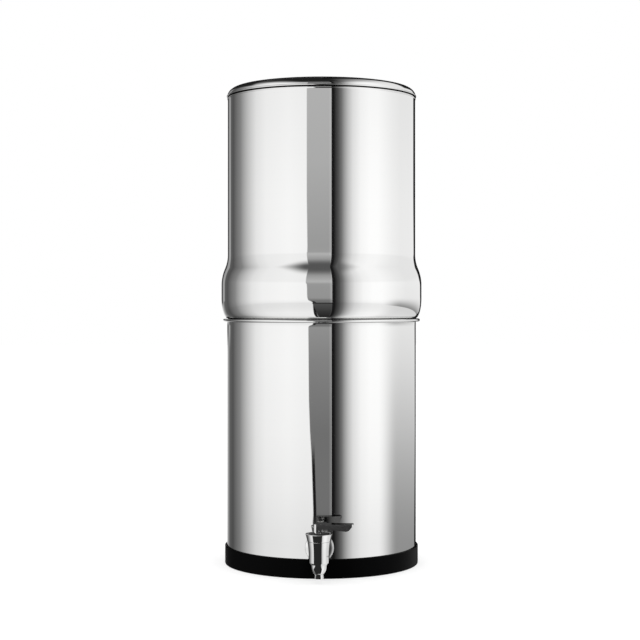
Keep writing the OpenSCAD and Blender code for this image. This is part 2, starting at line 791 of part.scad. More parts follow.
base_cup();
lower_chamber();
upper_chamber();
lid();
lid_knob();
knob_screw();
knob_washer();
filter_element(-filter_x);  // filter_element_left
filter_element(filter_x);  // filter_element_right
filter_foot(-filter_x);  // filter_foot_left
filter_foot(filter_x);  // filter_foot_right
filter_seal(-filter_x);  // filter_seal_left
filter_seal(filter_x);  // filter_seal_right
wing_nut(filter_places[0]);  // wing_nut_left
wing_nut(filter_places[1]);  // wing_nut_right
blocking_plugs();
plug_seals();
plug_nuts();
tap_body();
outer_seal();
inner_seal();
lock_nut();
tap_bonnet();
valve_stem();
seat_cup();
return_spring();
stem_seal();
thrust_washer();
lever();
lever_pin();
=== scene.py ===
"""Looks of a gravity water filter with a lever tap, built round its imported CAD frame.

Sizes are in millimetres, and each mesh is turned into metres, in the CAD frame, when it is made.
"""

import logging
import math
from collections.abc import Callable, Iterable, Sequence
from dataclasses import dataclass, field
from enum import Enum
from typing import Any

import bmesh
import bpy
from mathutils import Matrix, Vector


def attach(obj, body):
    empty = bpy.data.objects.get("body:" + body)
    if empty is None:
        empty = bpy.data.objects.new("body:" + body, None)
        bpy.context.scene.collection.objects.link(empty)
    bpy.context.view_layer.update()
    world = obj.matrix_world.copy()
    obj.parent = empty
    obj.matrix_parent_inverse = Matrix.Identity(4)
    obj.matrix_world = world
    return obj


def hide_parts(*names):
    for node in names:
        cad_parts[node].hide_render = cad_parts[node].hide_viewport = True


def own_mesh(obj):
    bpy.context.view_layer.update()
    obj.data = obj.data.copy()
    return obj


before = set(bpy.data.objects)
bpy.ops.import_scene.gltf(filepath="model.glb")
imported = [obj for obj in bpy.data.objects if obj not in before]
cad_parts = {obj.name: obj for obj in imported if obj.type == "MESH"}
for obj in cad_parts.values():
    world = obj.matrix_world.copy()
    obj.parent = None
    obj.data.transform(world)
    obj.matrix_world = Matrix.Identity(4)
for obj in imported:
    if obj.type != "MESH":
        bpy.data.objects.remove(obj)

log = logging.getLogger("water_filter")

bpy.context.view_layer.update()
MM = 0.001
THREAD_GAP = 0.1
RUN_GAP = 0.05
Point = tuple[float, ...]
Outline = list[Point]


class Body(Enum):
    """The bodies of the frame that pieces ride on."""

    STAND = "stand"
    UPPER = "upper"
    COVER = "cover"
    WASHER = "turning_washer"
    VALVE = "valve"
    HANDLE = "handle"


class Slot(Enum):
    """The material slots of the record."""

    MIRROR_STEEL = "mirror_steel"
    TAP_CHROME = "tap_chrome"
    FASTENER_STEEL = "fastener_steel"
    BASE_RUBBER = "base_rubber"
    SEAL_RUBBER = "seal_rubber"
    RED_SEAL = "red_seal"
    KNOB_PLASTIC = "knob_plastic"
    FILTER_PLASTIC = "filter_plastic"
    CARBON = "carbon_element"
    NYLON = "white_nylon"


# ---- Node graphs ----


def operators(operation: str) -> tuple[Callable[..., "Wire"], Callable[..., "Wire"]]:
    """The plain and the reflected method of Wire that add a Math node."""
    return (lambda wire, other: wire.graph.math(operation, wire, other),
            lambda wire, other: wire.graph.math(operation, other, wire))


class Wire:
    """A socket of a node graph, whose arithmetic adds Math nodes."""

    __add__, __radd__ = operators("ADD")
    __sub__, __rsub__ = operators("SUBTRACT")
    __mul__, __rmul__ = operators("MULTIPLY")
    __truediv__, __rtruediv__ = operators("DIVIDE")

    def __init__(self, graph: "Graph", socket: bpy.types.NodeSocket) -> None:
        """Keeps the graph and the socket that it stands for."""
        self.graph = graph
        self.socket = socket

    def __abs__(self) -> "Wire":
        """Size without its sign."""
        return self.graph.math("ABSOLUTE", self)

    def step(self, start: Any, stop: Any) -> "Wire":
        """A smooth step of the wire.

        Args:
            start: Value at which the step is still 0.
            stop: Value at which it has reached 1, which may be the lower of the two.

        Returns:
            The step, from 0 to 1.
        """
        return self.graph.add("ShaderNodeMapRange", {0: self, 1: start, 2: stop},
                              interpolation_type="SMOOTHSTEP")

    def ramp(self, *stops: tuple[float, float]) -> "Wire":
        """A value that follows straight lines between stops.

        Args:
            stops: Pairs of the wire's value and the result there, in rising order.

        Returns:
            The result, level beyond the first and the last stop.
        """
        total: Any = stops[0][1]
        for (a, low), (b, high) in zip(stops, stops[1:]):
            limits = {0: self, 1: a, 2: b, 3: 0.0, 4: high - low}
            total = self.graph.add("ShaderNodeMapRange", limits) + total
        return total


class Graph:
    """A node tree that is built by calls."""

    def __init__(self, tree: bpy.types.NodeTree) -> None:
        """Empties the tree and keeps it."""
        self.tree = tree
        tree.nodes.clear()

    def add(self, kind: str, inputs: dict[int | str, Any] | None = None, out: int | str = 0,
            **settings: Any) -> Wire:
        """Adds any node.

        Args:
            kind: The node's type name.
            inputs: Values or wires of its sockets, by index or name.
            out: The output that is returned.
            settings: The node's own settings, which are set first.

        Returns:
            The wire of the chosen output.
        """
        node = self.tree.nodes.new(kind)
        for name, value in settings.items():
            setattr(node, name, value)
        for key, value in (inputs or {}).items():
            if isinstance(value, Wire):
                self.tree.links.new(value.socket, node.inputs[key])
            else:
                node.inputs[key].default_value = value
        return Wire(self, node.outputs[out] if node.outputs else node.inputs[0])

    def math(self, operation: str, *values: Any) -> Wire:
        """Adds a Math node on up to three values."""
        return self.add("ShaderNodeMath", dict(enumerate(values)), operation=operation)

    def split(self, vector: Wire) -> tuple[Wire, Wire, Wire]:
        """The three components of a vector."""
        x, y, z = self.add("ShaderNodeSeparateXYZ", {0: vector}).socket.node.outputs
        return Wire(self, x), Wire(self, y), Wire(self, z)

    def join(self, x: Any, y: Any, z: Any) -> Wire:
        """A vector of three components."""
        return self.add("ShaderNodeCombineXYZ", {0: x, 1: y, 2: z})

    def blend(self, share: Any, first: Any, second: Any) -> Wire:
        """Two numbers mixed by a share of the second."""
        return self.add("ShaderNodeMix", {0: share, 2: first, 3: second}, data_type="FLOAT")

    def tint(self, share: Any, first: Any, second: Any) -> Wire:
        """Two colours mixed by a share of the second."""
        return self.add("ShaderNodeMix", {0: share, 6: first, 7: second}, out=2, data_type="RGBA")


def paint(name: str) -> tuple[bpy.types.Material, Graph]:
    """A new material and its empty graph."""
    made = bpy.data.materials.new(name)
    made.use_nodes = True
    return made, Graph(made.node_tree)


# ---- Finishes ----


@dataclass(frozen=True)
class Finish:
    """A surface finish: a Principled shader whose detail follows the piece's own coordinates."""

    slot: Slot
    colour: tuple[float, float, float]
    roughness: float
    metallic: float = 0.0
    specular: float = 0.5

    def material(self) -> bpy.types.Material:
        """Makes the finish's material once, and finds it again.

        Returns:
            The material, under the slot's name.
        """
        name = f"{self.slot.value}_finish"
        found = bpy.data.materials.get(name)
        if found:
            return found
        made, graph = paint(name)
        made.diffuse_color = (*self.colour, 1)
        shader = graph.add("ShaderNodeBsdfPrincipled", {
            "Base Color": (*self.colour, 1),
            "Roughness": self.roughness,
            "Metallic": self.metallic,
            "Specular IOR Level": self.specular,
        })
        place = graph.add("ShaderNodeTexCoord", out="Object")
        for key, wire in self.detail(graph, place).items():
            graph.tree.links.new(wire.socket, shader.socket.node.inputs[key])
        graph.add("ShaderNodeOutputMaterial", {"Surface": shader})
        return made

    def detail(self, graph: Graph, place: Wire) -> dict[str, Wire]:
        """What varies over the surface.

        Args:
            graph: The material's graph.
            place: The object coordinates, in metres.

        Returns:
            The wires for the shader's sockets, by name.
        """
        raise NotImplementedError

    def noise(self, graph: Graph, place: Wire, scale: float, octaves: float = 3.0) -> Wire:
        """A noise round 0.5, with that many features in a metre."""
        return graph.add("ShaderNodeTexNoise", {"Vector": place, "Scale": scale, "Detail": octaves})

    def streaks(self, graph: Graph, place: Wire, scales: Point, octaves: float = 3.0) -> Wire:
        """A noise round 0.5, with its own number of features in a metre along each axis."""
        spread = graph.join(*(wire * scale for wire, scale in zip(graph.split(place), scales)))
        return self.noise(graph, spread, 1.0, octaves)

    def relief(self, graph: Graph, height: Wire, depth: float) -> Wire:
        """A normal that leans as a height of 0 to 1 would make it.

        Args:
            graph: The material's graph.
            height: The height's wire.
            depth: What a height of 1 stands for, in metres.

        Returns:
            The wire of the normal.
        """
        return graph.add("ShaderNodeBump", {"Strength": 1.0, "Distance": depth, "Height": height},
                         out="Normal")

    def shade(self, graph: Graph, share: Wire, low: float, high: float) -> Wire:
        """The finish's colour, from low to high times its brightness."""
        dark, light = (tuple(min(c * k, 1.0) for c in self.colour) for k in (low, high))
        return graph.tint(share, (*dark, 1), (*light, 1))


@dataclass(frozen=True)
class MirrorSteel(Finish):
    """Polished sheet: faint lines round its axis, a flush weld down its back, painted shade in the
    lid seam.
    """

    lines: Point = (3.0, 3.0, 900.0)
    ripples: Point = (400.0, 50.0, 700.0)
    wander: float = 0.012
    weld_half: float = 0.0012
    weld_roughness: float = 0.11
    # painted shade: a near-black band of base colour round the lid seam stands in for the shadow in
    # the gap
    seam_z: float = 0.5639
    seam_half: float = 0.0009
    seam_shade_colour: Point = (0.03, 0.03, 0.03, 1)

    def detail(self, graph: Graph, place: Wire) -> dict[str, Wire]:
        """Polishing lines, smears, the weld and painted shade in the lid seam. See Finish.detail.
        """
        x, y, z = graph.split(place)
        lines = self.streaks(graph, place, self.lines, 2.0)
        smears = self.noise(graph, place, 14.0, 4.0)
        weld = abs(x).step(self.weld_half, self.weld_half * 0.6) * y.step(0.10, 0.105)
        ripple = self.streaks(graph, place, self.ripples)
        rough = self.roughness + (lines - 0.5) * self.wander + (smears - 0.5) * self.wander
        # mask of the painted seam shade, a band at the seam's height
        seam = abs(z - self.seam_z).step(self.seam_half, self.seam_half * 0.6)
        steel = self.shade(graph, smears * 0.5 + lines * 0.5, 0.985, 1.015)
        return {
            "Roughness": graph.blend(weld, rough, self.weld_roughness),
            # the base colour goes near black in the seam band: painted shade, not a real colour of
            # the steel
            "Base Color": graph.tint(seam, steel, self.seam_shade_colour),
            "Normal": self.relief(graph, weld * (0.7 + ripple * 0.3), 0.00003),
        }


@dataclass(frozen=True)
class CastChrome(Finish):
    """Polished casting with faint buffing marks and finger smears."""

    marks: Point = (180.0, 180.0, 2400.0)

    def detail(self, graph: Graph, place: Wire) -> dict[str, Wire]:
        """Buffing marks and smears. See Finish.detail."""
        buffing = self.streaks(graph, place, self.marks, 2.0)
        smears = self.noise(graph, place, 90.0, 4.0)
        return {
            "Roughness": self.roughness + (buffing - 0.5) * 0.03 + smears.step(0.55, 0.8) * 0.05,
            "Base Color": self.shade(graph, smears, 0.96, 1.03),
            "Normal": self.relief(graph, self.noise(graph, place, 260.0), 0.000006),
        }


@dataclass(frozen=True)
class TurnedSteel(Finish):
    """Machined steel with tool marks."""

    marks: Point = (300.0, 5200.0, 5200.0)

    def detail(self, graph: Graph, place: Wire) -> dict[str, Wire]:
        """Tool marks and dull patches. See Finish.detail."""
        marks = self.streaks(graph, place, self.marks, 2.0)
        return {
            "Roughness": self.roughness + (marks - 0.5) * 0.2,
            "Base Color": self.shade(graph, self.noise(graph, place, 160.0), 0.9, 1.06),
            "Normal": self.relief(graph, marks, 0.00001),
        }


@dataclass(frozen=True)
class Rubber(Finish):
    """Moulded rubber with a fine matt skin and a little bloom."""

    grain: float = 2600.0
    depth: float = 0.00002

    def detail(self, graph: Graph, place: Wire) -> dict[str, Wire]:
        """Skin and bloom. See Finish.detail."""
        skin = self.noise(graph, place, self.grain, 2.0)
        bloom = self.noise(graph, place, 35.0, 5.0)
        return {
            "Roughness": self.roughness + (bloom - 0.5) * 0.22,
            "Base Color": self.shade(graph, bloom.step(0.3, 0.75), 0.8, 1.35),
            "Normal": self.relief(graph, skin, self.depth),
        }


@dataclass(frozen=True)
class Moulded(Finish):
    """Injection-moulded plastic with an even spark-eroded grain."""

    grain: float = 3200.0
    depth: float = 0.00002
    flow: float = 60.0

    def detail(self, graph: Graph, place: Wire) -> dict[str, Wire]:
        """Grain and flow marks. See Finish.detail."""
        pits = graph.add("ShaderNodeTexVoronoi", {"Vector": place, "Scale": self.grain},
                         feature="SMOOTH_F1")
        flow = self.noise(graph, place, self.flow, 2.0)
        return {
            "Roughness": self.roughness + (flow - 0.5) * 0.16,
            "Base Color": self.shade(graph, flow, 0.9, 1.1),
            "Normal": self.relief(graph, pits, self.depth),
        }


@dataclass(frozen=True)
class PressedCarbon(Finish):
    """Pressed carbon block: dull black grains with a few glints."""

    def detail(self, graph: Graph, place: Wire) -> dict[str, Wire]:
        """Grains, pores and glints. See Finish.detail."""
        grains = graph.add("ShaderNodeTexVoronoi", {"Vector": place, "Scale": 1500.0})
        coarse = self.noise(graph, place, 420.0, 6.0)
        return {
            "Roughness": self.roughness - grains.step(0.16, 0.05) * 0.35,
            "Base Color": self.shade(graph, coarse.step(0.35, 0.7), 0.55, 1.7),
            "Normal": self.relief(graph, coarse * 0.6 + grains * 0.4, 0.00016),
        }


FINISHES: dict[Slot, Finish] = {
    finish.slot: finish
    for finish in (
        MirrorSteel(Slot.MIRROR_STEEL, (0.92, 0.92, 0.915), 0.030, metallic=1.0),
        CastChrome(Slot.TAP_CHROME, (0.90, 0.90, 0.895), 0.040, metallic=1.0),
        TurnedSteel(Slot.FASTENER_STEEL, (0.62, 0.62, 0.63), 0.26, metallic=1.0),
        Rubber(Slot.BASE_RUBBER, (0.0009, 0.0009, 0.001), 0.42, specular=0.03),
        Rubber(Slot.SEAL_RUBBER, (0.018, 0.018, 0.019), 0.62, specular=0.35),
        Rubber(Slot.RED_SEAL, (0.42, 0.085, 0.05), 0.48, grain=1800.0),
        Moulded(Slot.KNOB_PLASTIC, (0.012, 0.012, 0.013), 0.33),
        Moulded(Slot.FILTER_PLASTIC, (0.045, 0.045, 0.05), 0.42),
        PressedCarbon(Slot.CARBON, (0.022, 0.022, 0.023), 0.86, specular=0.3),
        Moulded(Slot.NYLON, (0.80, 0.785, 0.73), 0.44, depth=0.00001),
    )
}


# ---- Outlines ----


def oval(centre: Point, wide: float, high: float, start: float, stop: float, steps: int) -> Outline:
    """Points on part of an ellipse.

    Args:
        centre: Its centre.
        wide: Half its width.
        high: Half its height.
        start: First angle, in degrees.
        stop: Last angle, in degrees.
        steps: Steps between them.

    Returns:
        The points, both ends included.
    """
    turns = [math.radians(start + (stop - start) * i / steps) for i in range(steps + 1)]
    return [(centre[0] + wide * math.cos(t), centre[1] + high * math.sin(t)) for t in turns]


def arc(centre: Point, radius: float, start: float, stop: float, steps: int = 8) -> Outline:
    """Points on part of a circle. See oval."""
    return oval(centre, radius, radius, start, stop, steps)


def run(first: Point, last: Point, steps: int) -> Outline:
    """Evenly spaced points on a straight line, both ends included."""
    return [tuple(a + (b - a) * i / steps for a, b in zip(first, last)) for i in range(steps + 1)]


def thinned(outline: Iterable[Point]) -> Outline:
    """The outline without points that lie on the one before."""
    kept: Outline = []
    for point in outline:
        if not kept or math.dist(point[:2], kept[-1][:2]) > 0.003:
            kept.append(point)
    return kept


def shifted(outline: Outline, distance: float) -> Outline:
    """The outline moved to its left, mitred at its corners.

    Args:
        outline: The points.
        distance: How far they move.

    Returns:
        As many points, moved.
    """
    moved = []
    last = len(outline) - 1
    for i, point in enumerate(outline):
        a, b = max(i, 1), min(i, last - 1)
        before = (Vector(outline[a]) - Vector(outline[a - 1])).normalized()
        after = (Vector(outline[b + 1]) - Vector(outline[b])).normalized()
        lean = Vector((-before.y, before.x)) + Vector((-after.y, after.x))
        way = Vector(point) + lean * (2 * distance / lean.length_squared)
        moved.append((way.x, way.y))
    return moved


def closed(*points: Point) -> Outline:
    """The points with the first of them repeated at the end."""
    return [*points, points[0]]


def rod(radius: float, low: float, high: float) -> Outline:
    """Section of a solid cylinder."""
    return [(0, low), (radius, low), (radius, high), (0, high)]


def bar(first: float, last: float, half: float) -> Outline:
    """An oblong along X, by its ends and half its width."""
    return [(first, -half), (last, -half), (last, half), (first, half)]


def ring(inner: float, outer: float, low: float, high: float, edge: float) -> Outline:
    """Closed section of a ring with round edges.

    Args:
        inner: Inner radius.
        outer: Outer radius.
        low: Lower height.
        high: Upper height.
        edge: Radius of its four edges.

    Returns:
        The points, the first of them repeated at the end.
    """
    return thinned(closed(
        *arc((outer - edge, low + edge), edge, -90, 0, 4),
        *arc((outer - edge, high - edge), edge, 0, 90, 4),
        *arc((inner + edge, high - edge), edge, 90, 180, 4),
        *arc((inner + edge, low + edge), edge, 180, 270, 4),
    ))


def thread(radius: float, low: float, high: float, pitch: float, depth: float) -> Outline:
    """Straight run of a threaded rod, with the thread's depth at each point.

    Args:
        radius: Radius of the crests.
        low: Lower height.
        high: Upper height.
        pitch: Distance between turns.
        depth: Depth of the thread, which fades out at both ends.

    Returns:
        Points of radius, height and depth.
    """
    steps = max(4, round((high - low) / pitch * 7))
    points = run((radius, low), (radius, high), steps)
    fade = pitch * 0.8
    return [(r, z, depth * max(0.0, min(1.0, (z - low) / fade, (high - z) / fade)))
            for r, z in points]


# ---- Meshes ----


def added(name: str, data: Any) -> bpy.types.Object:
    """A new object in the scene."""
    made = bpy.data.objects.new(name, data)
    bpy.context.scene.collection.objects.link(made)
    return made


class Recipe:
    """A Geometry Nodes tree with named inputs, run once for each piece that follows its rule."""

    def __init__(self, name: str, inputs: dict[str, str],
                 rule: Callable[[Graph, dict[str, Wire]], Wire]) -> None:
        """Builds the tree.

        Args:
            name: The tree's name.
            inputs: Socket types of its named inputs, without NodeSocket.
            rule: Makes the geometry from the graph and the inputs' wires.
        """
        self.name = name
        self.tree = bpy.data.node_groups.new(name, "GeometryNodeTree")
        graph = Graph(self.tree)
        face = self.tree.interface
        kinds = {"Outline": "Geometry", **inputs, "Finish": "Material"}
        self.keys = {
            key: face.new_socket(key, in_out="INPUT", socket_type=f"NodeSocket{kind}").identifier
            for key, kind in kinds.items()
        }
        face.new_socket("Geometry", in_out="OUTPUT", socket_type="NodeSocketGeometry")
        source = self.tree.nodes.new("NodeGroupInput")
        wires = {key: Wire(graph, source.outputs[i]) for i, key in enumerate(kinds)}
        shape = graph.add("GeometryNodeRealizeInstances", {"Geometry": rule(graph, wires)})
        shape = graph.add("GeometryNodeSetMaterial",
                          {"Geometry": shape, "Material": wires["Finish"]})
        graph.add("NodeGroupOutput", {0: shape})

    def make(self, name: str, slot: Slot, outline: Outline, **values: Any) -> bpy.types.Object:
        """Runs the tree.

        Args:
            name: The new object's name.
            slot: Whose finish it gets.
            outline: Points of radius, height and, on a thread, its depth.
            values: The tree's other inputs, by name.

        Returns:
            An object with a plain mesh, in metres.
        """
        mesh = bpy.data.meshes.new(f"{name}_outline")
        points = [(p[0] * MM, (p[2] if len(p) > 2 else 0) * MM, p[1] * MM) for p in outline]
        mesh.from_pydata(points, [], [])
        source = added(f"{name}_source", mesh)
        modifier = source.modifiers.new(self.name, "NODES")
        modifier.node_group = self.tree
        for key, value in {**values, "Finish": FINISHES[slot].material()}.items():
            modifier[self.keys[key]] = value
        return plain(source, name)


def plain(source: bpy.types.Object, name: str) -> bpy.types.Object:
    """Turns an object and its modifiers into a new object with a plain mesh.

    Args:
        source: The object, which is removed.
        name: The new object's name.

    Returns:
        The new object, at the origin.
    """
    graph = bpy.context.evaluated_depsgraph_get()
    mesh = bpy.data.meshes.new_from_object(source.evaluated_get(graph))
    mesh.name = name
    bpy.data.objects.remove(source)
    return added(name, mesh)


def worked(piece: bpy.types.Object, kind: str, **settings: Any) -> bpy.types.Object:
    """Runs one modifier on a piece.

    Args:
        piece: The piece, which is used up.
        kind: The modifier's type.
        settings: Its settings.

    Returns:
        The result, under the piece's name.
    """
    name = piece.name
    piece.name = f"{name}_before"
    work = piece.modifiers.new("work", kind)
    for key, value in settings.items():
        setattr(work, key, value)
    return plain(piece, name)


def turned_rule(graph: Graph, wires: dict[str, Wire]) -> Wire:
    """A closed skin turned about Z, with a helical thread where the outline has a depth.

    Args:
        graph: The tree's graph.
        wires: Its inputs: Outline, Sides and Pitch.

    Returns:
        The wire of the geometry.
    """
    rows = graph.add("GeometryNodeAttributeDomainSize", {"Geometry": wires["Outline"]})
    columns = wires["Sides"] + 1.0
    grid = graph.add("GeometryNodeMeshGrid", {"Vertices X": rows, "Vertices Y": columns})
    index = graph.add("GeometryNodeInputIndex")
    row = graph.math("FLOOR", (index + 0.5) / columns)
    share = (index - row * columns) / wires["Sides"]
    point = graph.add("GeometryNodeSampleIndex", {
        "Geometry": wires["Outline"],
        "Value": graph.add("GeometryNodeInputPosition"),
        "Index": row,
    }, data_type="FLOAT_VECTOR")
    radius, depth, height = graph.split(point)
    groove = abs(graph.math("FRACT", height / wires["Pitch"] - share + 8.0) - 0.5) * 2.0
    reach = radius - depth * groove
    turn = share * math.tau
    place = graph.join(reach * graph.math("COSINE", turn), reach * graph.math("SINE", turn),
                       height)
    skin = graph.add("GeometryNodeSetPosition", {"Geometry": grid, "Position": place})
    skin = graph.add("GeometryNodeFlipFaces", {"Mesh": skin})
    skin = graph.add("GeometryNodeMergeByDistance", {"Geometry": skin, "Distance": 1e-6})
    return graph.add("GeometryNodeSetShadeSmooth", {"Geometry": skin})


def coil_rule(graph: Graph, wires: dict[str, Wire]) -> Wire:
    """A wire coiled about Z from the origin up, its end turns drawn together.

    Args:
        graph: The tree's graph.
        wires: Its inputs: Turns, Radius, Height and Wire.

    Returns:
        The wire of the geometry.
    """
    index = graph.add("GeometryNodeInputIndex")
    count = wires["Turns"] * 36.0 + 1.0
    share = index / (count - 1.0)
    climb = share + graph.math("SINE", share * (2 * math.tau)) * -0.02
    turn = share * wires["Turns"] * math.tau
    place = graph.join(wires["Radius"] * graph.math("COSINE", turn),
                       wires["Radius"] * graph.math("SINE", turn), wires["Height"] * climb)
    path = graph.add("GeometryNodeMeshLine", {"Count": count})
    path = graph.add("GeometryNodeSetPosition", {"Geometry": path, "Position": place})
    path = graph.add("GeometryNodeMeshToCurve", {"Mesh": path})
    section = graph.add("GeometryNodeCurvePrimitiveCircle",
                        {"Resolution": 14, "Radius": wires["Wire"]})
    tube = graph.add("GeometryNodeCurveToMesh",
                     {"Curve": path, "Profile Curve": section, "Fill Caps": True})
    return graph.add("GeometryNodeSetShadeSmooth", {"Geometry": tube})


TURNED = Recipe("turned_skin", {"Sides": "Int", "Pitch": "Float"}, turned_rule)
COIL = Recipe("coiled_wire", dict.fromkeys(("Turns", "Radius", "Height", "Wire"), "Float"),
              coil_rule)


def turned(name: str, slot: Slot, outline: Iterable[Point], sides: int = 96,
           pitch: float = 1.0) -> bpy.types.Object:
    """A piece turned about Z.

    Args:
        name: Its name.
        slot: Whose finish it gets.
        outline: Its section, up the outside first, from pole to pole or back to its start.
        sides: Sides round the axis.
        pitch: Distance between a thread's turns.

    Returns:
        The new object.
    """
    return TURNED.make(name, slot, thinned(outline), Sides=sides, Pitch=pitch * MM)


def meshed(name: str, shape: bmesh.types.BMesh) -> bpy.types.Object:
    """A new object of a finished shape, which is freed."""
    mesh = bpy.data.meshes.new(name)
    shape.to_mesh(mesh)
    shape.free()
    return added(name, mesh)


def prism(name: str, outline: Outline, low: float, high: float) -> bpy.types.Object:
    """An outline in X and Y raised along Z.

    Args:
        name: Its name.
        outline: The points, anticlockwise.
        low: Lower height.
        high: Upper height.

    Returns:
        The new object, closed.
    """
    shape = bmesh.new()
    floor = [shape.verts.new((x * MM, y * MM, low * MM)) for x, y in outline]
    roof = [shape.verts.new((x * MM, y * MM, high * MM)) for x, y in outline]
    shape.faces.new(floor[::-1])
    shape.faces.new(roof)
    for i, corner in enumerate(floor):
        j = (i + 1) % len(floor)
        shape.faces.new((corner, floor[j], roof[j], roof[i]))
    return meshed(name, shape)


def moved(piece: bpy.types.Object, *ways: Matrix) -> bpy.types.Object:
    """Moves a piece's mesh by matrices, the last of them first."""
    for way in reversed(ways):
        piece.data.transform(way)
    return piece


def shift(x: float = 0, y: float = 0, z: float = 0) -> Matrix:
    """A move in millimetres."""
    return Matrix.Translation((x * MM, y * MM, z * MM))


def turn(degrees: float, axis: str) -> Matrix:
    """A turn about one of the axes."""
    return Matrix.Rotation(math.radians(degrees), 4, axis)


def combined(piece: bpy.types.Object, tool: bpy.types.Object, operation: str) -> bpy.types.Object:
    """Joins, cuts or crosses a piece with a tool, exactly.

    Args:
        piece: The piece, which is used up.
        tool: The other shape, which is used up.
        operation: UNION, DIFFERENCE or INTERSECT.

    Returns:
        The result, under the piece's name.
    """
    made = worked(piece, "BOOLEAN", operation=operation, solver="EXACT", object=tool)
    bpy.data.objects.remove(tool)
    return made


def bored(piece: bpy.types.Object, slot: Slot, section: Outline, *ways: Matrix,
          sides: int = 96) -> bpy.types.Object:
    """Cuts a turned shape out of a piece.

    Args:
        piece: The piece, which is used up.
        slot: The piece's slot.
        section: The turned shape's section.
        ways: Moves to its place, the last of them first.
        sides: Sides round its axis.

    Returns:
        The result, under the piece's name.
    """
    return combined(piece, moved(turned("drill", slot, section, sides), *ways), "DIFFERENCE")


def eased(piece: bpy.types.Object, width: float, segments: int = 2,
          angle: float = 35) -> bpy.types.Object:
    """Rounds the sharp edges of a piece.

    Args:
        piece: The piece, which is used up.
        width: Width of the rounding.
        segments: Its steps.
        angle: Least angle of an edge that is rounded, in degrees.

    Returns:
        The result, under the same name.
    """
    return worked(piece, "BEVEL", width=width * MM, segments=segments, limit_method="ANGLE",
                  angle_limit=math.radians(angle), miter_outer="MITER_ARC")


def copy_of(node: str, name: str) -> bpy.types.Object:
    """A merged copy of a CAD node, to be finished in place of it."""
    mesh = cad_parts[node].data.copy()
    shape = bmesh.new()
    shape.from_mesh(mesh)
    bmesh.ops.remove_doubles(shape, verts=shape.verts, dist=2e-6)
    bmesh.ops.dissolve_limit(shape, angle_limit=math.radians(0.3), verts=shape.verts,
                             edges=shape.edges)
    shape.to_mesh(mesh)
    shape.free()
    return added(name, mesh)


def settle(piece: bpy.types.Object, body: Body, slot: Slot, *nodes: str,
           flat: bool = False) -> None:
    """Dresses a finished piece and fixes it in the frame.

    Args:
        piece: The piece.
        body: The body that it rides on.
        slot: Whose finish it has.
        nodes: CAD nodes that it replaces.
        flat: Whether its large faces keep their own shading beside eased edges.
    """
    mesh = piece.data
    mesh.materials.clear()
    mesh.materials.append(FINISHES[slot].material())
    for face in mesh.polygons:
        face.material_index = 0
        face.use_smooth = True
    mesh.set_sharp_from_angle(angle=math.radians(32))
    if flat:
        piece = worked(piece, "WEIGHTED_NORMAL", keep_sharp=True)
    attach(piece, body.value)
    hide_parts(*nodes)
    log.info("%s: %d faces on %s, %s", piece.name, len(piece.data.polygons), body.value,
             slot.value)


def fitted(node: str, body: Body, slot: Slot, section: Iterable[Point], *ways: Matrix,
           sides: int = 96, pitch: float = 1.0, name: str = "") -> None:
    """Turns a piece, moves it to its place and settles it there.

    Args:
        node: The CAD node that it replaces.
        body: The body that it rides on.
        slot: Whose finish it has.
        section: Its section, as in turned.
        ways: Moves to its place, the last of them first.
        sides: Sides round its axis.
        pitch: Distance between a thread's turns.
        name: Its name, if it isn't the node's with _skin.
    """
    piece = turned(name or f"{node}_skin", slot, section, sides, pitch)
    settle(moved(piece, *ways), body, slot, node)


# ---- Chambers and base ----


@dataclass
class Base:
    """The black rubber cup that the lower chamber stands in."""

    radius: float = 117.2
    height: float = 22.0
    wall: float = 2.3
    floor: float = 3.0
    edge: float = 1.0
    ribs: int = 7
    rib_start: float = 40.0
    rib_step: float = 10.0
    rib_wide: float = 5.0
    rib_edge: float = 0.4
    rib_high: float = 0.5

    def underside(self) -> Outline:
        """Anti-slip ribs under the floor, from the axis out."""
        edge, high = self.rib_edge, self.rib_high
        points: Outline = [(0, high), (30, high), (30 + edge, 0)]
        for i in range(self.ribs):
            start = self.rib_start + i * self.rib_step
            stop = start + self.rib_wide
            points += [(start, 0), (start + edge, high), (stop - edge, high), (stop, 0)]
        return points

    def build(self) -> None:
        """Makes and dresses the cup."""
        e, r, inner = self.edge, self.radius, self.radius - self.wall
        fitted("base_cup", Body.STAND, Slot.BASE_RUBBER, [
            *self.underside(),
            *arc((r - e, e), e, -90, 0, 8),
            *run((r, e), (r, self.height - e), 4),
            *arc((r - e, self.height - e), e, 0, 90, 8),
            *arc((inner + 0.5, self.height - 0.5), 0.5, 90, 180, 4),
            *arc((inner - 1.2, self.floor + 1.2), 1.2, 0, -90, 5),
            (0, self.floor),
        ], sides=288)


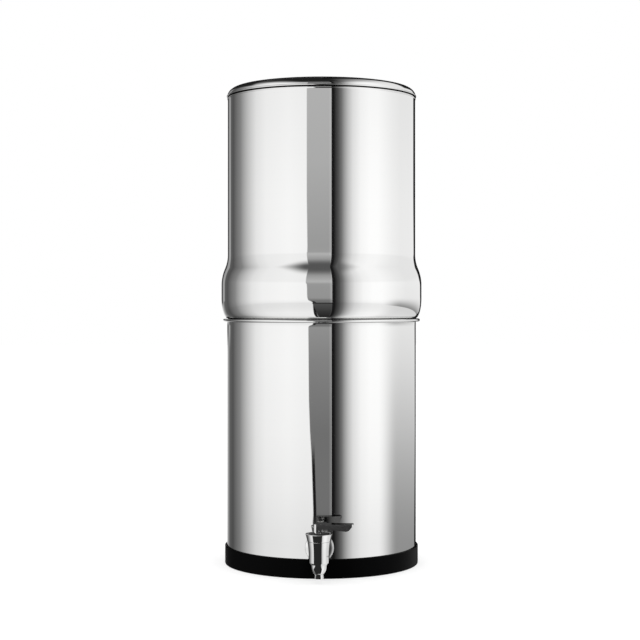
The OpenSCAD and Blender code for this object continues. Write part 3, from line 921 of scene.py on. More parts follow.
@dataclass
class LowerChamber:
    """The lower vessel, with its rolled rim and the tap's hole."""

    radius: float = 114.7
    sheet: float = 1.0
    foot: float = 3.0
    panel_rise: float = 4.0
    foot_wide: float = 15.0
    corner: float = 8.0
    rim_top: float = 296.0
    rim_out: float = 4.9
    rim_thick: float = 3.4
    rim_round: float = 0.6
    hole: float = 16.4
    hole_z: float = 36.0
    sides: int = 288

    def outside(self) -> Outline:
        """The sheet's outer line, from the middle of the bottom to the rim."""
        r, low = self.radius, self.foot
        flat = r - self.corner - self.foot_wide
        panel = low + self.panel_rise
        below_rim = self.rim_top - self.rim_thick - self.rim_round
        return [
            (0, panel), (40, panel), (flat - self.panel_rise, panel), (flat, low),
            *arc((r - self.corner, low + self.corner), self.corner, -90, 0, 16),
            *run((r, low + self.corner), (r, below_rim), 56)[1:],
        ]

    def section(self) -> Outline:
        """The closed section: outside, rolled rim and inside."""
        outer = self.outside()
        inner = shifted(outer, self.sheet)[:-1]
        half, e = self.rim_thick / 2, self.rim_round
        lip = self.radius + self.rim_out - half
        low = self.rim_top - self.rim_thick
        wall = self.radius - self.sheet
        return [
            *outer,
            *arc((self.radius + e, low - e), e, 180, 90, 5),
            *arc((lip, low + half), half, -90, 90, 18),
            *arc((wall + e, self.rim_top - e), e, 90, 180, 5),
            *inner[::-1],
        ]

    def build(self) -> None:
        """Makes and dresses the vessel."""
        skin = turned("lower_chamber_skin", Slot.MIRROR_STEEL, self.section(), self.sides)
        skin = bored(skin, Slot.MIRROR_STEEL, rod(self.hole / 2, -6, 6),
                     shift(y=-self.radius, z=self.hole_z), turn(-90, "X"))
        settle(skin, Body.STAND, Slot.MIRROR_STEEL, "lower_chamber")


@dataclass
class UpperChamber:
    """The upper vessel: neck, curl, bulge, shoulder, wall and mouth bead."""

    wall: float = 114.0
    sheet: float = 1.0
    neck: float = 112.8
    bulge: float = 121.6
    corner: float = 8.0
    floor: float = 272.0
    curl: float = 296.3
    curl_fillet: float = 1.2
    band: float = 321.0
    shoulder: float = 336.4
    wall_low: float = 373.4
    shoulder_split: float = 0.54
    mouth: float = 563.5
    mouth_out: float = 0.5
    mouth_thick: float = 2.6
    hole: float = 10.6
    hole_places: tuple[Point, ...] = ((-52, 0), (52, 0), (0, -52), (0, 52))
    sides: int = 288

    def outside(self) -> Outline:
        """The sheet's outer line, from the middle of the floor to the mouth bead."""
        rise = self.wall_low - self.shoulder
        lean = 2 * math.atan((self.bulge - self.wall) / rise)
        arcs = rise / math.sin(lean)
        low, high = arcs * self.shoulder_split, arcs * (1 - self.shoulder_split)
        angle = math.degrees(lean)
        start = self.neck + self.curl_fillet
        under_bead = self.mouth - self.mouth_thick
        return thinned([
            (0, self.floor), (40, self.floor), (60, self.floor),
            *arc((self.neck - self.corner, self.floor + self.corner), self.corner, -90, 0, 12),
            *arc((start, self.curl - self.curl_fillet), self.curl_fillet, 180, 90, 8),
            *oval((start, self.band), self.bulge - start, self.band - self.curl, -82, 0, 30),
            *run((self.bulge, self.band), (self.bulge, self.shoulder), 4),
            *arc((self.bulge - low, self.shoulder), low, 0, angle, 16),
            *arc((self.wall + high, self.wall_low), high, 180 + angle, 180, 16),
            *run((self.wall, self.wall_low), (self.wall, under_bead - 0.3), 30)[1:],
            (self.wall, under_bead),
        ])

    def section(self) -> Outline:
        """The closed section: outside, mouth bead and inside."""
        outer = self.outside()
        inner = shifted(outer, self.sheet)
        half = self.mouth_thick / 2
        lip = self.wall + self.mouth_out - half
        start = -math.degrees(math.acos((self.wall - lip + 0.1) / half))
        inside = self.wall - self.sheet
        return [
            *outer,
            *arc((lip, self.mouth - half), half, start, 90, 12),
            *arc((inside + 0.4, self.mouth - 0.4), 0.4, 90, 180, 3),
            *inner[::-1],
        ]

    def build(self) -> None:
        """Makes and dresses the vessel."""
        piece = turned("upper_chamber_skin", Slot.MIRROR_STEEL, self.section(), self.sides)
        for x, y in self.hole_places:
            piece = bored(piece, Slot.MIRROR_STEEL, rod(self.hole / 2, -3, 3),
                          shift(x, y, self.floor), sides=48)
        settle(piece, Body.UPPER, Slot.MIRROR_STEEL, "upper_chamber")


# ---- Lid ----


@dataclass
class Lid:
    """The domed lid with its dish, rolled edge and skirt, and the knob that is screwed to it."""

    dome: float = 114.6
    sheet: float = 1.0
    edge_low: float = 564.3
    edge_thick: float = 2.0
    edge_reach: float = 115.2
    shoulder_wide: float = 14.0
    shoulder_top: float = 575.7
    crown: float = 2.5
    dish: float = 42.0
    dish_low: float = 570.8
    dish_round: float = 3.0
    skirt: float = 112.4
    skirt_low: float = 556.5
    screw_hole: float = 2.3
    knob_radius: float = 18.0
    knob_high: float = 12.5
    washer: float = 8.0
    washer_thick: float = 1.2
    screw: float = 2.0
    screw_head: float = 2.4
    screw_pitch: float = 0.7
    screw_depth: float = 0.38

    def top(self) -> Outline:
        """The sheet's upper line, from the rolled edge over the dome into the dish."""
        middle = self.edge_low + self.edge_thick / 2
        start, stop = self.dome - self.shoulder_wide, self.dish + self.dish_round
        high = self.shoulder_top + self.crown
        fall = [(r, self.shoulder_top + self.crown * (1 - ((r - stop) / (start - stop)) ** 2))
                for r, _ in run((start - 0.6, 0), (stop, 0), 20)]
        return thinned([
            *oval((start, middle), self.shoulder_wide, self.shoulder_top - middle, 6.3, 84, 28),
            *fall,
            *arc((stop, high - self.dish_round), self.dish_round, 96, 180, 10),
            *arc((self.dish - self.dish_round, self.dish_low + self.dish_round),
                 self.dish_round, 0, -90, 10),
            (20, self.dish_low), (self.screw_hole, self.dish_low),
        ])

    def section(self) -> Outline:
        """The closed section: under the dish, skirt, rolled edge and top."""
        top = self.top()
        inside = self.skirt - self.sheet
        under = [p for p in shifted(top, self.sheet)[::-1] if p[0] < inside - 0.2]
        half = self.edge_thick / 2
        lip = self.edge_reach - half
        return closed(
            *under,
            (inside, under[-1][1] - 0.2),
            *arc((inside + 0.5, self.skirt_low + 0.5), 0.5, 180, 360, 8),
            (self.skirt, self.edge_low - 0.3), (self.skirt + 0.3, self.edge_low),
            *arc((lip, self.edge_low + half), half, -90, 70, 16),
            *top,
        )

    def knob_section(self) -> Outline:
        """The closed section of the knob, from its screw hole's top round the outside."""
        z, radius, lip = self.dish_low, self.knob_radius, 2.2
        foot, waist, high = radius * 0.6, radius * 0.5, z + self.knob_high
        bore = self.screw + THREAD_GAP
        return [
            (0, z + 8), (bore, z + 8), (bore, z + 0.3), (bore + 0.3, z),
            (foot - 0.4, z), (foot, z + 0.4), (foot, z + 1.1), (foot - 0.3, z + 1.5),
            *arc((waist + 3, z + 4.5), 3, 222, 135, 12),
            *arc((radius - lip, high - lip - 0.6), lip, -60, 60, 16),
            *oval((0, high - 1.4), radius - lip, 1.4, 40, 60, 6),
            (7.4, high - 0.15), (7.0, high - 0.45), (0, high - 0.6),
        ]

    def screw_section(self) -> Outline:
        """The section of the knob's screw, from the middle of its head to its tip."""
        low = self.dish_low - self.sheet - self.washer_thick
        head = 2 * self.screw
        return [
            (0, low - self.screw_head), *arc((head - 0.9, low - 1.5), 0.9, -90, 0, 6), (head, low),
            (self.screw, low),
            *thread(self.screw, low + 0.4, low + 8.9, self.screw_pitch, self.screw_depth),
            (self.screw * 0.6, low + 9.7), (0, low + 9.7),
        ]

    def build(self) -> None:
        """Makes and dresses the lid, knob, washer and screw."""
        under = self.dish_low - self.sheet
        low = under - self.washer_thick
        fitted("lid", Body.COVER, Slot.MIRROR_STEEL, self.section(), sides=288)
        fitted("lid_knob", Body.COVER, Slot.KNOB_PLASTIC, self.knob_section(), sides=128)
        fitted("knob_washer", Body.COVER, Slot.SEAL_RUBBER,
               ring(self.screw_hole, self.washer, low, under, 0.25))
        screw = turned("knob_screw_skin", Slot.FASTENER_STEEL, self.screw_section(), 64,
                       self.screw_pitch)
        for angle in (0, 90):
            cross = prism("cross", bar(-2.2, 2.2, 0.5), -1, 1.2)
            moved(cross, shift(z=low - self.screw_head), turn(angle, "Z"))
            screw = combined(screw, cross, "DIFFERENCE")
        settle(screw, Body.COVER, Slot.FASTENER_STEEL, "knob_screw")


# ---- Filters and plugs ----


class Side(Enum):
    """The two filters, by the side on which they stand."""

    LEFT = -1
    RIGHT = 1


@dataclass
class Filters:
    """The two filter elements with their feet, seals and wing nuts, and the two plugs."""

    places: float = 52.0
    floor: float = 272.0
    sheet: float = 1.0
    seal: float = 3.0
    seal_radius: float = 13.0
    element_radius: float = 32.5
    element_high: float = 225.0
    element_bore: float = 14.0
    element_round: float = 9.0
    foot_radius: float = 34.7
    stem: float = 5.0
    stem_bore: float = 2.5
    stem_drop: float = 28.0
    pitch: float = 1.5
    thread_depth: float = 0.85
    plug_head: float = 12.0
    plug_thick: float = 4.0
    nut_high: float = 10.0
    nut_hub: float = 9.0
    wing_reach: float = 17.0
    wing_thick: float = 3.0

    def element(self) -> Outline:
        """Section of an element, standing at its own foot's inside."""
        r, top, e = self.element_radius, self.element_high, self.element_round
        return [
            (0, top - 18), (self.element_bore, top - 18), (self.element_bore, 0), (r - 0.4, 0),
            (r, 0.4),
            *run((r, 2), (r, top - e), 30),
            *arc((r - e, top - e), e, 0, 60, 12),
            *run((r - e * 0.62, top - 0.85), (6, top - 0.05), 4), (0, top),
        ]

    def foot(self) -> Outline:
        """Section of a foot with its threaded outlet stem, from its underside."""
        r, low = self.foot_radius, -self.seal - self.sheet - self.stem_drop
        cup, seat, spigot = r - 2, self.seal_radius, self.element_bore - 0.2
        threads = thread(self.stem, low + 0.9, -self.seal - self.sheet + 0.5, self.pitch,
                         self.thread_depth)
        return closed(
            (self.stem_bore + 0.4, low), (self.stem - 0.9, low), *threads,
            (self.stem, 0), (seat, 0), (seat, 3.4), (seat + 0.6, 4),
            (r - 3, 4), *arc((r - 1.2, 6.9), 1.2, -40, 0, 4), (r, 13.5), (r - 0.5, 14),
            (cup + 0.5, 14), (cup, 13.5), (cup, 7), (spigot, 7), (spigot, 11.4),
            (self.element_bore - 0.8, 12), (self.stem_bore, 12), (self.stem_bore, low + 0.4),
        )

    def plug(self) -> Outline:
        """Section of a plug, from the end of its threaded stem to its head."""
        low = -self.seal - self.sheet - self.nut_high - 4
        head, thick = self.plug_head, self.plug_thick
        return [
            (0, low), (self.stem - 0.9, low),
            *thread(self.stem, low + 0.9, -0.6, self.pitch, self.thread_depth),
            (self.stem, 0), (head - 0.3, 0), (head, 0.3), *arc((head - 1, thick - 1), 1, 0, 90, 6),
            (7.5, thick), *arc((6.9, thick - 0.1), 0.5, 60, -20, 4), (6.6, thick - 0.9),
            (0, thick - 0.9),
        ]

    def wing_nut(self, name: str) -> bpy.types.Object:
        """A wing nut standing at the origin.

        Args:
            name: Its name.

        Returns:
            The nut, with eased edges.
        """
        section = ring(self.stem + THREAD_GAP, self.nut_hub, 0, self.nut_high, 0.02)
        nut = turned(name, Slot.NYLON, section, sides=64)
        start, tip = self.nut_hub - 2, self.wing_reach - 3
        side = [(start, self.nut_high - 1), (start, 1), (tip - 1, -3),
                *arc((tip, 0), 3, -90, 90, 10)]
        for half in (0, 180):
            wing = prism("wing", side, -self.wing_thick / 2, self.wing_thick / 2)
            nut = combined(nut, moved(wing, turn(half, "Z"), turn(90, "X")), "UNION")
        return eased(nut, 0.45)

    def fasten(self, names: tuple[str, str], nodes: tuple[str, str], radius: float, x: float,
               y: float) -> None:
        """Makes and dresses the seal and the wing nut of one hole.

        Args:
            names: Both pieces' names.
            nodes: The CAD nodes that they replace.
            radius: The seal's outer radius.
            x: The hole's place across.
            y: The hole's place in depth.
        """
        section = ring(self.stem + THREAD_GAP, radius, 0, self.seal, 0.5)
        fitted(nodes[0], Body.UPPER, Slot.RED_SEAL, section, shift(x, y, self.floor + self.sheet),
               name=names[0])
        nut = moved(self.wing_nut(names[1]), shift(x, y, self.floor - self.nut_high))
        settle(nut, Body.UPPER, Slot.NYLON, nodes[1], flat=True)

    def build(self) -> None:
        """Makes and dresses every piece on the upper chamber's floor."""
        seat = self.floor + self.sheet + self.seal
        for side in Side:
            name, x = side.name.lower(), side.value * self.places
            fitted(f"filter_element_{name}", Body.UPPER, Slot.CARBON, self.element(),
                   shift(x, 0, seat + 7))
            fitted(f"filter_foot_{name}", Body.UPPER, Slot.FILTER_PLASTIC, self.foot(),
                   shift(x, 0, seat), pitch=self.pitch)
            nodes = f"filter_seal_{name}", f"wing_nut_{name}"
            self.fasten((f"{nodes[0]}_skin", f"{nodes[1]}_skin"), nodes, self.seal_radius, x, 0)
        for name, y in (("front", -self.places), ("back", self.places)):
            fitted("blocking_plugs", Body.UPPER, Slot.FILTER_PLASTIC, self.plug(),
                   shift(0, y, seat), pitch=self.pitch, name=f"plug_{name}_skin")
            self.fasten((f"plug_seal_{name}_skin", f"plug_nut_{name}_skin"),
                        ("plug_seals", "plug_nuts"), self.plug_head, 0, y)


# ---- Tap ----


@dataclass
class Tap:
    """The tap: casting, bonnet, seals, nut and the valve inside."""

    y: float = -144.5
    z: float = 36.0
    wall: float = 114.7
    flange_y: float = -117.7
    flange: float = 16.5
    flange_thick: float = 1.6
    flange_dome: float = 1.6
    shank: float = 7.9
    shank_bore: float = 4.5
    shank_end: float = -99.7
    shank_pitch: float = 1.5
    shank_depth: float = 0.9
    neck: float = 8.5
    barrel: float = 11.7
    rim: float = 15.4
    spout: float = 5.2
    spout_bore: float = 3.6
    spout_low: float = 5.5
    nozzle: float = 9.3
    nozzle_low: float = 10.6
    nozzle_top: float = 21.5
    chamfer: float = 2.5
    flare_low: float = 31.5
    seam: float = 47.5
    top: float = 56.2
    valve_bore: float = 8.2
    valve_floor: float = 25.5
    plug_low: float = 41.5
    recess: float = 14.3
    rod: float = 2.5
    pin_z: float = 59.55
    pin: float = 1.2
    spring_low: float = 31.9
    spring_long: float = 13.5
    spring_radius: float = 4.3
    spring_turns: float = 5.0
    lift: float = 2.9845

    def flare_at(self, z: float) -> float:
        """Radius of the concave flare at a height, up to the bonnet's rim."""
        span, out = self.top - self.flare_low, self.rim - self.barrel
        round_r = (span ** 2 + out ** 2) / (2 * out)
        return self.barrel + round_r - math.sqrt(round_r ** 2 - (z - self.flare_low) ** 2)

    def flare(self, low: float, high: float) -> Outline:
        """Points on the flare between two heights."""
        return [(self.flare_at(z), z) for _, z in run((0, low), (0, high), 16)]

    def body_section(self) -> Outline:
        """Section of spout, nozzle and barrel, solid."""
        taper = self.spout / self.nozzle
        deep = (self.nozzle_top - self.nozzle_low) / math.sqrt(1 - taper ** 2)
        barrel_low = self.nozzle_top + self.chamfer
        ledge = self.barrel - self.chamfer + 0.6
        return [
            (0, self.spout_low), (self.spout - 0.4, self.spout_low),
            *arc((self.spout - 0.4, self.spout_low + 0.4), 0.4, -90, 0, 4),
            *oval((0, self.nozzle_top), self.nozzle, deep, -math.degrees(math.acos(taper)), 0, 24),
            (ledge, self.nozzle_top + 0.05), *arc((self.barrel - 0.5, barrel_low), 0.5, -50, 0, 4),
            *self.flare(self.flare_low, self.seam - 0.35),
            *arc((self.flare_at(self.seam) - 0.25, self.seam - 0.35), 0.25, 0, 90, 4),
            (0, self.seam - 0.1),
        ]

    def bonnet_section(self) -> Outline:
        """Closed section of the bonnet, with its plug, stem bore, seal groove and recess."""
        bore, pocket, groove = self.rod + RUN_GAP, 5.3, 4.3
        plug, low, seam = self.valve_bore - THREAD_GAP, self.plug_low, self.seam
        spring_top, floor = self.spring_low + self.spring_long, self.top - 1
        groove_low, groove_high = spring_top + 1.8, spring_top + 3.8
        edge = self.flare_at(seam) - 0.25
        return closed(
            (pocket, low), (self.valve_bore - 0.4, low), (plug, low + 0.3), (plug, seam),
            (edge, seam), *arc((edge, seam + 0.25), 0.25, -90, 0, 4),
            *self.flare(seam + 0.35, self.top - 0.7),
            *arc((self.rim - 0.6, self.top - 0.6), 0.6, 0, 90, 8),
            *arc((self.recess + 0.2, self.top - 0.2), 0.2, 90, 180, 3),
            (self.recess, floor), (bore, floor), (bore, groove_high), (groove, groove_high),
            (groove, groove_low), (bore, groove_low), (bore, spring_top), (pocket, spring_top),
        )

    def flange_section(self) -> Outline:
        """Section of the flange with the neck's flare, from the wall's side out."""
        r, t, top = self.flange, self.flange_thick, self.flange_thick + self.flange_dome
        reach = self.flange_y - self.y
        return [
            (0, 0), (r - 0.4, 0), *arc((r - 0.4, 0.4), 0.4, -90, 0, 3),
            *arc((r - 0.5, t - 0.5), 0.5, 0, 60, 4),
            *oval((0, t - 1.2), r + 0.9, top - t + 1.4, 22, 52, 14),
            *arc((self.neck + 1.4, top + 1.1), 1.4, -100, -180, 8), (self.neck, reach), (0, reach),
        ]

    def casting(self) -> bpy.types.Object:
        """The body's casting with its bores, without the threaded shank."""
        upright, behind = shift(y=self.y), shift(y=self.y, z=self.z) @ turn(-90, "X")
        piece = moved(turned("tap_casting", Slot.TAP_CHROME, self.body_section(), 160), upright)
        flange = turned("flange", Slot.TAP_CHROME, self.flange_section(), 128)
        moved(flange, shift(y=self.flange_y, z=self.z), turn(90, "X"))
        piece = combined(piece, flange, "UNION")
        lip, seat, low = self.spout_bore + 1.5, self.valve_floor + 0.8, self.valve_floor
        high = self.seam + 1
        valve = [(0, seat), (lip, seat), (lip, low), (self.valve_bore, low),
                 (self.valve_bore, high), (0, high)]
        for section, place in (
            (rod(self.spout_bore, self.spout_low - 1, seat + 0.2), upright),
            (valve, upright),
            (rod(self.shank_bore, 0, self.shank_end - self.y + 1), behind),
        ):
            piece = bored(piece, Slot.TAP_CHROME, section, place, sides=64)
        return piece

    def build(self) -> None:
        """Makes and dresses the tap, apart from its lever."""
        settle(self.casting(), Body.STAND, Slot.TAP_CHROME, "tap_body")
        long, upright = self.shank_end - self.flange_y, shift(y=self.y)
        shank = closed(
            (self.shank_bore, 0), (self.shank, 0), (self.shank, 2.4),
            *thread(self.shank, 3, long - 0.8, self.shank_pitch, self.shank_depth),
            (self.shank - self.shank_depth, long), (self.shank_bore, long),
        )
        fitted("tap_body", Body.STAND, Slot.TAP_CHROME, shank, shift(y=self.flange_y, z=self.z),
               turn(-90, "X"), pitch=self.shank_pitch, name="tap_shank_thread")
        fitted("tap_bonnet", Body.STAND, Slot.TAP_CHROME, self.bonnet_section(), upright,
               sides=160)
        for node in ("outer_seal", "inner_seal"):
            settle(copy_of(node, f"{node}_skin"), Body.STAND, Slot.SEAL_RUBBER, node)
        settle(self.lock_nut(), Body.STAND, Slot.FASTENER_STEEL, "lock_nut")
        fitted("thrust_washer", Body.WASHER, Slot.KNOB_PLASTIC,
               ring(self.rod + 0.3, 11.8, self.top - 1, self.top - 0.001, 0.15), upright)
        self.build_valve()

    def lock_nut(self) -> bpy.types.Object:
        """The hexagonal nut behind the wall, with chamfered corners."""
        across, thick, bore, chamfer = 12.0, 6.0, self.shank + THREAD_GAP, 1.07
        corner = across / math.cos(math.radians(30))
        nut = turned("lock_nut_skin", Slot.FASTENER_STEEL, closed(
            (bore, 0.4), (bore + 0.4, 0), (across, 0), (corner, chamfer),
            (corner, thick - chamfer), (across, thick), (bore + 0.4, thick), (bore, thick - 0.4),
        ), 144)
        hexagon = prism("hexagon", arc((0, 0), corner, 0, 300, 5), -1, thick + 1)
        nut = combined(nut, hexagon, "INTERSECT")
        return moved(nut, shift(y=-self.wall + 1 + 2.4, z=self.z), turn(-90, "X"))

    def build_valve(self) -> None:
        """Makes and dresses the stem, seat cup, seal ring, spring and lever pin."""
        upright, rod_r, pin = shift(y=self.y), self.rod, self.pin
        seat = self.valve_floor + 1
        low, collar = seat + 1.3, seat + 4
        stem = turned("valve_stem_skin", Slot.TAP_CHROME, [
            (0, low), (rod_r - 0.3, low), (rod_r, low + 0.3), (rod_r, collar), (4.6, collar),
            (4.8, collar + 0.2), (4.8, collar + 1.2), (4.6, collar + 1.4), (rod_r, collar + 1.4),
            (rod_r, self.pin_z), (0, self.pin_z),
        ], 64)
        tang = prism("tang", bar(-4.2, 4.2, 3), self.pin_z - 2.5, self.pin_z + 2.7)
        stem = combined(stem, eased(tang, 0.5), "UNION")
        stem = bored(stem, Slot.TAP_CHROME, rod(pin + RUN_GAP, -8, 8), shift(z=self.pin_z),
                     turn(90, "X"), sides=48)
        settle(moved(stem, upright), Body.VALVE, Slot.TAP_CHROME, "valve_stem", flat=True)
        fitted("seat_cup", Body.VALVE, Slot.SEAL_RUBBER, [
            (0, seat), *arc((5.5, seat + 1), 1, -90, 0, 6), (6.5, seat + 3.7), (6.2, collar),
            (rod_r + RUN_GAP, collar), (rod_r + RUN_GAP, seat + 1.2), (0, seat + 1.2),
        ], upright, sides=64)
        spring_top = self.spring_low + self.spring_long
        fitted("stem_seal", Body.STAND, Slot.SEAL_RUBBER,
               arc((rod_r + 0.85, spring_top + 2.8), 0.8, -180, 180, 20), upright, sides=64)
        spring = COIL.make("return_spring_skin", Slot.FASTENER_STEEL, [(0, 0)],
                           Turns=self.spring_turns, Radius=self.spring_radius * MM,
                           Height=(self.spring_long - 1.4) * MM, Wire=0.5 * MM)
        moved(spring, shift(y=self.y, z=self.spring_low + 0.7))
        settle(spring, Body.STAND, Slot.FASTENER_STEEL, "return_spring")
        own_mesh(spring)
        half, e = 5.9, 0.3
        fitted("lever_pin", Body.VALVE, Slot.FASTENER_STEEL, [
            (0, -half), (pin - e, -half), (pin, -half + e), (pin, half - e), (pin - e, half),
            (0, half),
        ], shift(y=self.y, z=self.pin_z), turn(90, "X"), sides=48)


@dataclass
class Lever:
    """The tap's lever: cam, arch, press-down foot and hollow blade."""

    y: float = -144.5
    pin_z: float = 59.55
    reach: float = 38.8
    wide: float = 12.2
    heel: float = 6.1
    top: float = 7.55
    cam_off: float = 1.5
    slot: float = 6.4
    slot_top: float = 5.3
    arch: float = 2.4
    foot: float = 12.8
    foot_end: float = 15.4
    skirt: float = -0.45
    wall: float = 1.6
    pin: float = 1.25
    edge: float = 0.55

    def side(self) -> Outline:
        """Side view about the pin, anticlockwise from the heel's top."""
        cam = self.heel - self.cam_off
        low = self.cam_off - cam
        return [
            (-self.heel, self.top), (-self.heel, self.cam_off + 0.2),
            *arc((-self.cam_off, self.cam_off), cam, 184, 270, 16),
            (self.arch, low), *arc((self.arch + 2, -0.2), 2, 180, 90, 8),
            *arc((self.foot - 2, -0.2), 2, 90, 0, 8), (self.foot, low + 0.05),
            (self.foot_end, low + 0.05), (self.foot_end, self.skirt + 1.5),
            *arc((self.reach - 8.9, self.skirt + 6), 6, -90, -40, 8),
            (self.reach - 0.3, self.top - 0.9), (self.reach, self.top - 0.2),
            (self.reach, self.top),
        ]

    def plan(self, heel_round: float, tip_round: float) -> Outline:
        """Top view, a bar with round corners."""
        h, t, w, x0, x1 = heel_round, tip_round, self.wide / 2, -self.heel, self.reach
        return [
            *arc((x0 + h, -w + h), h, 180, 270, 8), *arc((x1 - t, -w + t), t, 270, 360, 10),
            *arc((x1 - t, w - t), t, 0, 90, 10), *arc((x0 + h, w - h), h, 90, 180, 8),
        ]

    def build(self) -> None:
        """Makes and dresses the lever."""
        half = self.wide / 2
        gap, inner = self.slot / 2, half - self.wall
        start, stop = self.foot_end, self.reach - 2 * self.wall
        lever = moved(prism("lever_skin", self.side(), -half, half), turn(90, "X"))
        for tool, operation in (
            (prism("plan", self.plan(3, 2.5), -20, 20), "INTERSECT"),
            (prism("slot", bar(-20, self.foot, gap), -20, self.slot_top), "DIFFERENCE"),
            (prism("hollow", bar(start, stop, inner), -20, self.top - self.wall), "DIFFERENCE"),
        ):
            lever = combined(lever, tool, operation)
        lever = bored(eased(lever, self.edge, 3, 40), Slot.TAP_CHROME, rod(self.pin, -9, 9),
                      turn(90, "X"), sides=48)
        moved(lever, shift(y=self.y, z=self.pin_z))
        settle(lever, Body.HANDLE, Slot.TAP_CHROME, "lever", flat=True)


# ---- Studio ----


Stops = tuple[tuple[float, float], ...]


def along(stops: Stops | float, wire: Wire) -> Any:
    """A number as it is, or a wire's value between stops."""
    return stops if isinstance(stops, (int, float)) else wire.ramp(*stops)


@dataclass(frozen=True)
class Card:
    """A wall, card or flag that the steel mirrors, placed by direction from the filter.

    Angles are in degrees: azimuth from the camera's side, rising to the right, and elevation. An
    edge or a level is a number or stops by elevation, and across gives levels by azimuth in place
    of level.
    """

    name: str
    left: Stops | float
    right: Stops | float
    level: Stops | float = 0.0
    across: Stops = ()
    soft: float = 1.0
    low: float = -95.0
    high: float = 95.0
    rise_soft: float = 1.0

    def over(self, graph: Graph, below: Any, az: Wire, el: Wire) -> Wire:
        """Lays the card over what is behind it.

        Args:
            graph: The world's graph.
            below: What is behind, as a wire or a number.
            az: Azimuth of the direction.
            el: Its elevation.

        Returns:
            The wire of the level.
        """
        left, right = along(self.left, el), along(self.right, el)
        half, rise = self.soft / 2, self.rise_soft / 2
        mask = (az - left).step(-half, half) * (az - right).step(half, -half)
        if self.low > -90:
            mask = mask * el.step(self.low - rise, self.low + rise)
        if self.high < 90:
            mask = mask * el.step(self.high + rise, self.high - rise)
        level = az.ramp(*self.across) if self.across else along(self.level, el)
        return graph.blend(mask, below, level)


@dataclass(frozen=True)
class Screen:
    """A small dark screen close to the filter, which only mirrored light meets.

    The turn gives its first and last angle from the camera's side about an upright axis at y. Each
    point of the profile is a radius, a height and a factor on that turn.
    """

    name: str
    y: float
    turn: tuple[float, float]
    profile: tuple[Point, ...]
    level: float
    steps: int = 24

    def build(self) -> None:
        """Stands the screen in its place."""
        ways = [math.radians(a) for a, _ in run((self.turn[0], 0), (self.turn[1], 0), self.steps)]
        spots = [(math.sin(a * wide) * r * MM, (self.y - math.cos(a * wide) * r) * MM, z * MM)
                 for r, z, wide in self.profile for a in ways]
        count = len(ways)
        faces = [(i, i + 1, count + i + 1, count + i)
                 for i in range(len(spots) - count) if (i + 1) % count]
        mesh = bpy.data.meshes.new(self.name)
        mesh.from_pydata(spots, [], faces)
        screen = added(self.name, mesh)
        dark, graph = paint(f"{self.name}_paint")
        glow = graph.add("ShaderNodeEmission", {"Strength": self.level})
        graph.add("ShaderNodeOutputMaterial", {"Surface": glow})
        mesh.materials.append(dark)
        screen.visible_camera = screen.visible_diffuse = screen.visible_shadow = False


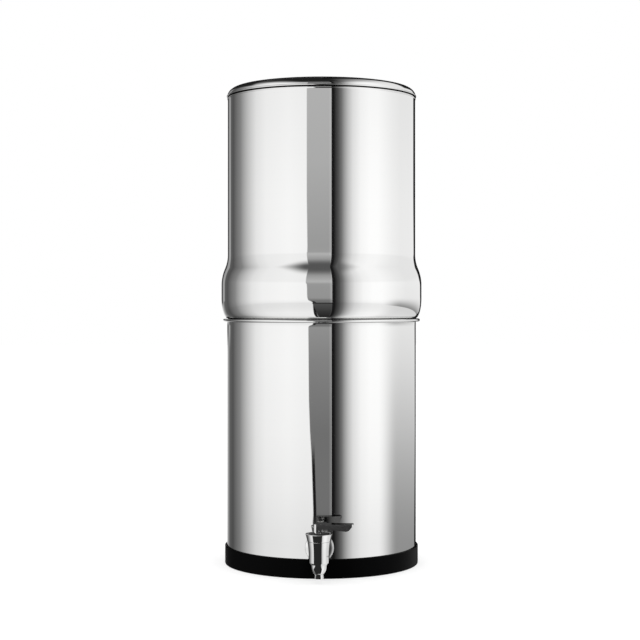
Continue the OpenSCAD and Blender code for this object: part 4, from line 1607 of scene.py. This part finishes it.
@dataclass
class Studio:
    """Camera, floor and the soft white room with its cards."""

    distance: float = 1831.0
    height: float = 317.4
    azimuth: float = 1.07
    lens: float = 84.5
    shift_x: float = -0.0023
    shift_y: float = -0.02992
    floor_radius: float = 9000.0
    floor_grey: float = 0.58
    walls: Sequence[Card] = field(default_factory=lambda: (
        Card("left wall", -190, 13, across=(
            (-180, 0.95), (-167, 0.8), (-158, 0.36), (-148, 0.12), (-136, 0.09), (-116.5, 0.25),
            (-101, 0.56), (-86, 0.84), (-71, 0.95), (-40, 1.0), (-20, 0.97)), soft=0.1),
        Card("post behind on the left", -171, -157, 0.05, soft=4, low=-1.5),
        Card("light beside the post", -157, -147, 0.36, soft=3, low=-1.5),
        Card("right wall", 13, 190, across=(
            (15.5, 0.02), (20, 0.08), (24, 0.18), (32, 0.57), (38, 0.81), (48, 1.0), (60, 1.07),
            (72, 1.07), (96, 0.94), (112, 0.89)), soft=0.1),
        Card("low wall on the right", 88, 190, ((-10.3, 0.84), (-9.75, 0.345)), soft=32,
             high=-4.3, rise_soft=11.5),
        Card("back room on the right", 165, 190, 1.0, soft=6),
    ))
    fall: Stops = ((-30, 0.92), (-14, 0.84), (-9.1, 0.84), (-7.2, 0.92), (-5, 0.97), (-2.3, 1.0),
                   (3.8, 1.0), (8, 0.94))
    cards: Sequence[Card] = field(default_factory=lambda: (
        Card("black flag on the right", ((-9, 155), (-5, 160), (-2, 159), (4, 153)), 190, 0.01,
             soft=3),
        Card("grey card in front",
             ((-8, -9.5), (-6, -11.5), (-5, -13.5), (-3.8, -14.8), (-1, -15.5), (4, -17.5)), 11.6,
             ((-5, 0.17), (-2.3, 0.24), (-1, 0.30), (2.3, 0.35), (5.3, 0.44), (8, 0.47), (22, 0.34),
              (42, 0.12)), high=60, rise_soft=10),
        Card("bright rim of the grey card", 9.4, 11.4,
             ((-5, 0.22), (-2.3, 0.29), (-1, 0.36), (2.3, 0.4), (5.3, 0.48), (8, 0.5)),
             soft=0.8, high=12),
        Card("black strip beside the grey card", ((-8, -9.5), (-6, -11.5)), ((-8, -6), (-6, -8)),
             0.01, soft=0.8, high=-5.8),
        Card("dark strip on the floor", -10.3, 13, 0.03, soft=0.8, low=-10.4, high=-8.25,
             rise_soft=0.3),
        Card("grey floor in front", ((-60, -4), (-30, -6), (-10.4, -9.5)), 12,
             ((-85, 0.006), (-60, 0.014), (-30, 0.037), (-12, 0.075)), high=-10.4, rise_soft=0.3),
        Card("gap on the right of the grey card", 11.8, 15.2, 0.01, soft=0.8),
    ))
    ceiling: Stops = ((0.74, 0.095), (0.84, 0.015))
    loss: Stops = ((2.0, 1.0), (3.0, 0.12))
    screens: Sequence[Screen] = field(default_factory=lambda: (
        Screen("tap_flag", Tap.y, (-50, 24),
               ((34, 42, 1), (34, 14, 1), (34, 0.4, 1.7), (7, 0.4, 1.7)), 0.022),
    ))

    def camera(self) -> None:
        """Makes the camera at the photograph's place."""
        lens = bpy.data.cameras.new("camera")
        lens.lens, lens.sensor_width = self.lens, 36
        lens.shift_x, lens.shift_y = self.shift_x, self.shift_y
        lens.clip_end = 100
        view = added("camera", lens)
        around = math.radians(self.azimuth)
        view.location = (self.distance * MM * math.sin(around),
                         -self.distance * MM * math.cos(around), self.height * MM)
        view.rotation_euler = (math.radians(90), 0, around)
        bpy.context.scene.camera = view

    def floor(self) -> None:
        """Lays the white floor, which keeps a faint shadow."""
        shape = bmesh.new()
        bmesh.ops.create_circle(shape, cap_ends=True, segments=96, radius=self.floor_radius * MM)
        floor = meshed("floor", shape)
        floor.location.z = -0.0002
        white, graph = paint("white_floor")
        matt = graph.add("ShaderNodeBsdfDiffuse", {"Color": (*[self.floor_grey] * 3, 1)})
        seen = graph.add("ShaderNodeLightPath", out="Is Camera Ray")
        glow = graph.add("ShaderNodeEmission", {"Strength": seen * self.floor_grey})
        both = graph.add("ShaderNodeAddShader", {0: matt, 1: glow})
        graph.add("ShaderNodeOutputMaterial", {"Surface": both})
        floor.data.materials.append(white)
        floor.visible_glossy = False

    def room(self) -> None:
        """Makes the world: white to the camera, plain to matt faces, the cards to the steel."""
        world = bpy.data.worlds.new("studio_room")
        world.use_nodes = True
        bpy.context.scene.world = world
        graph = Graph(world.node_tree)
        x, y, z = graph.split(graph.add("ShaderNodeTexCoord", out="Generated"))
        az = graph.math("ARCTAN2", x, y * -1.0) * math.degrees(1) - self.azimuth
        el = graph.math("ARCSINE", z) * math.degrees(1)
        level: Any = 0.93
        for card in self.walls:
            level = card.over(graph, level, az, el)
        level = level * el.ramp(*self.fall)
        for card in self.cards:
            level = card.over(graph, level, az, el)
        high = graph.math("MAXIMUM", z, 0.05)
        across, back = x / high, y / high
        strip = (across.step(-1.15, -0.35) * (across + back * 0.2).step(0.9, 0.05)
                 * z.step(0.38, 0.7))
        behind = ((back - across * 0.4).step(0.75, 1.05) * abs(across).step(1.6, 1.2)
                  * el.step(8.5, 11))
        path = graph.add("ShaderNodeLightPath").socket.node
        bounces = Wire(graph, path.outputs["Ray Depth"])
        first = bounces.ramp((2, 1), (3, 0))  # the depth is 2 at the first mirror
        ceiling = graph.blend(strip * first, level, z.ramp(*self.ceiling))
        level = graph.math("MINIMUM", level, ceiling)
        level = graph.blend(behind * first, level, self.ceiling[-1][1])
        level = level * graph.blend(el.step(10, 20), bounces.ramp(*self.loss), 1.0)
        sharp = graph.math("MAXIMUM", Wire(graph, path.outputs["Is Glossy Ray"]),
                           Wire(graph, path.outputs["Is Transmission Ray"]))
        strength = graph.blend(sharp, 1.0, level)
        light = graph.add("ShaderNodeBackground", {"Color": (1, 1, 1, 1), "Strength": strength})
        graph.add("ShaderNodeOutputWorld", {"Surface": light})

    def build(self) -> None:
        """Sets the camera, floor, room and view transform."""
        self.camera()
        self.floor()
        for screen in self.screens:
            screen.build()
        self.room()
        bpy.context.scene.view_settings.view_transform = "Standard"


def main() -> None:
    """Builds the pieces in order."""
    logging.basicConfig(level=logging.INFO, format="%(name)s %(message)s")
    for part in (Studio(), Base(), LowerChamber(), UpperChamber(), Lid(), Filters(), Tap(),
                 Lever()):
        part.build()
        log.info("built %s", type(part).__name__)


if __name__ == "__main__":
    main()
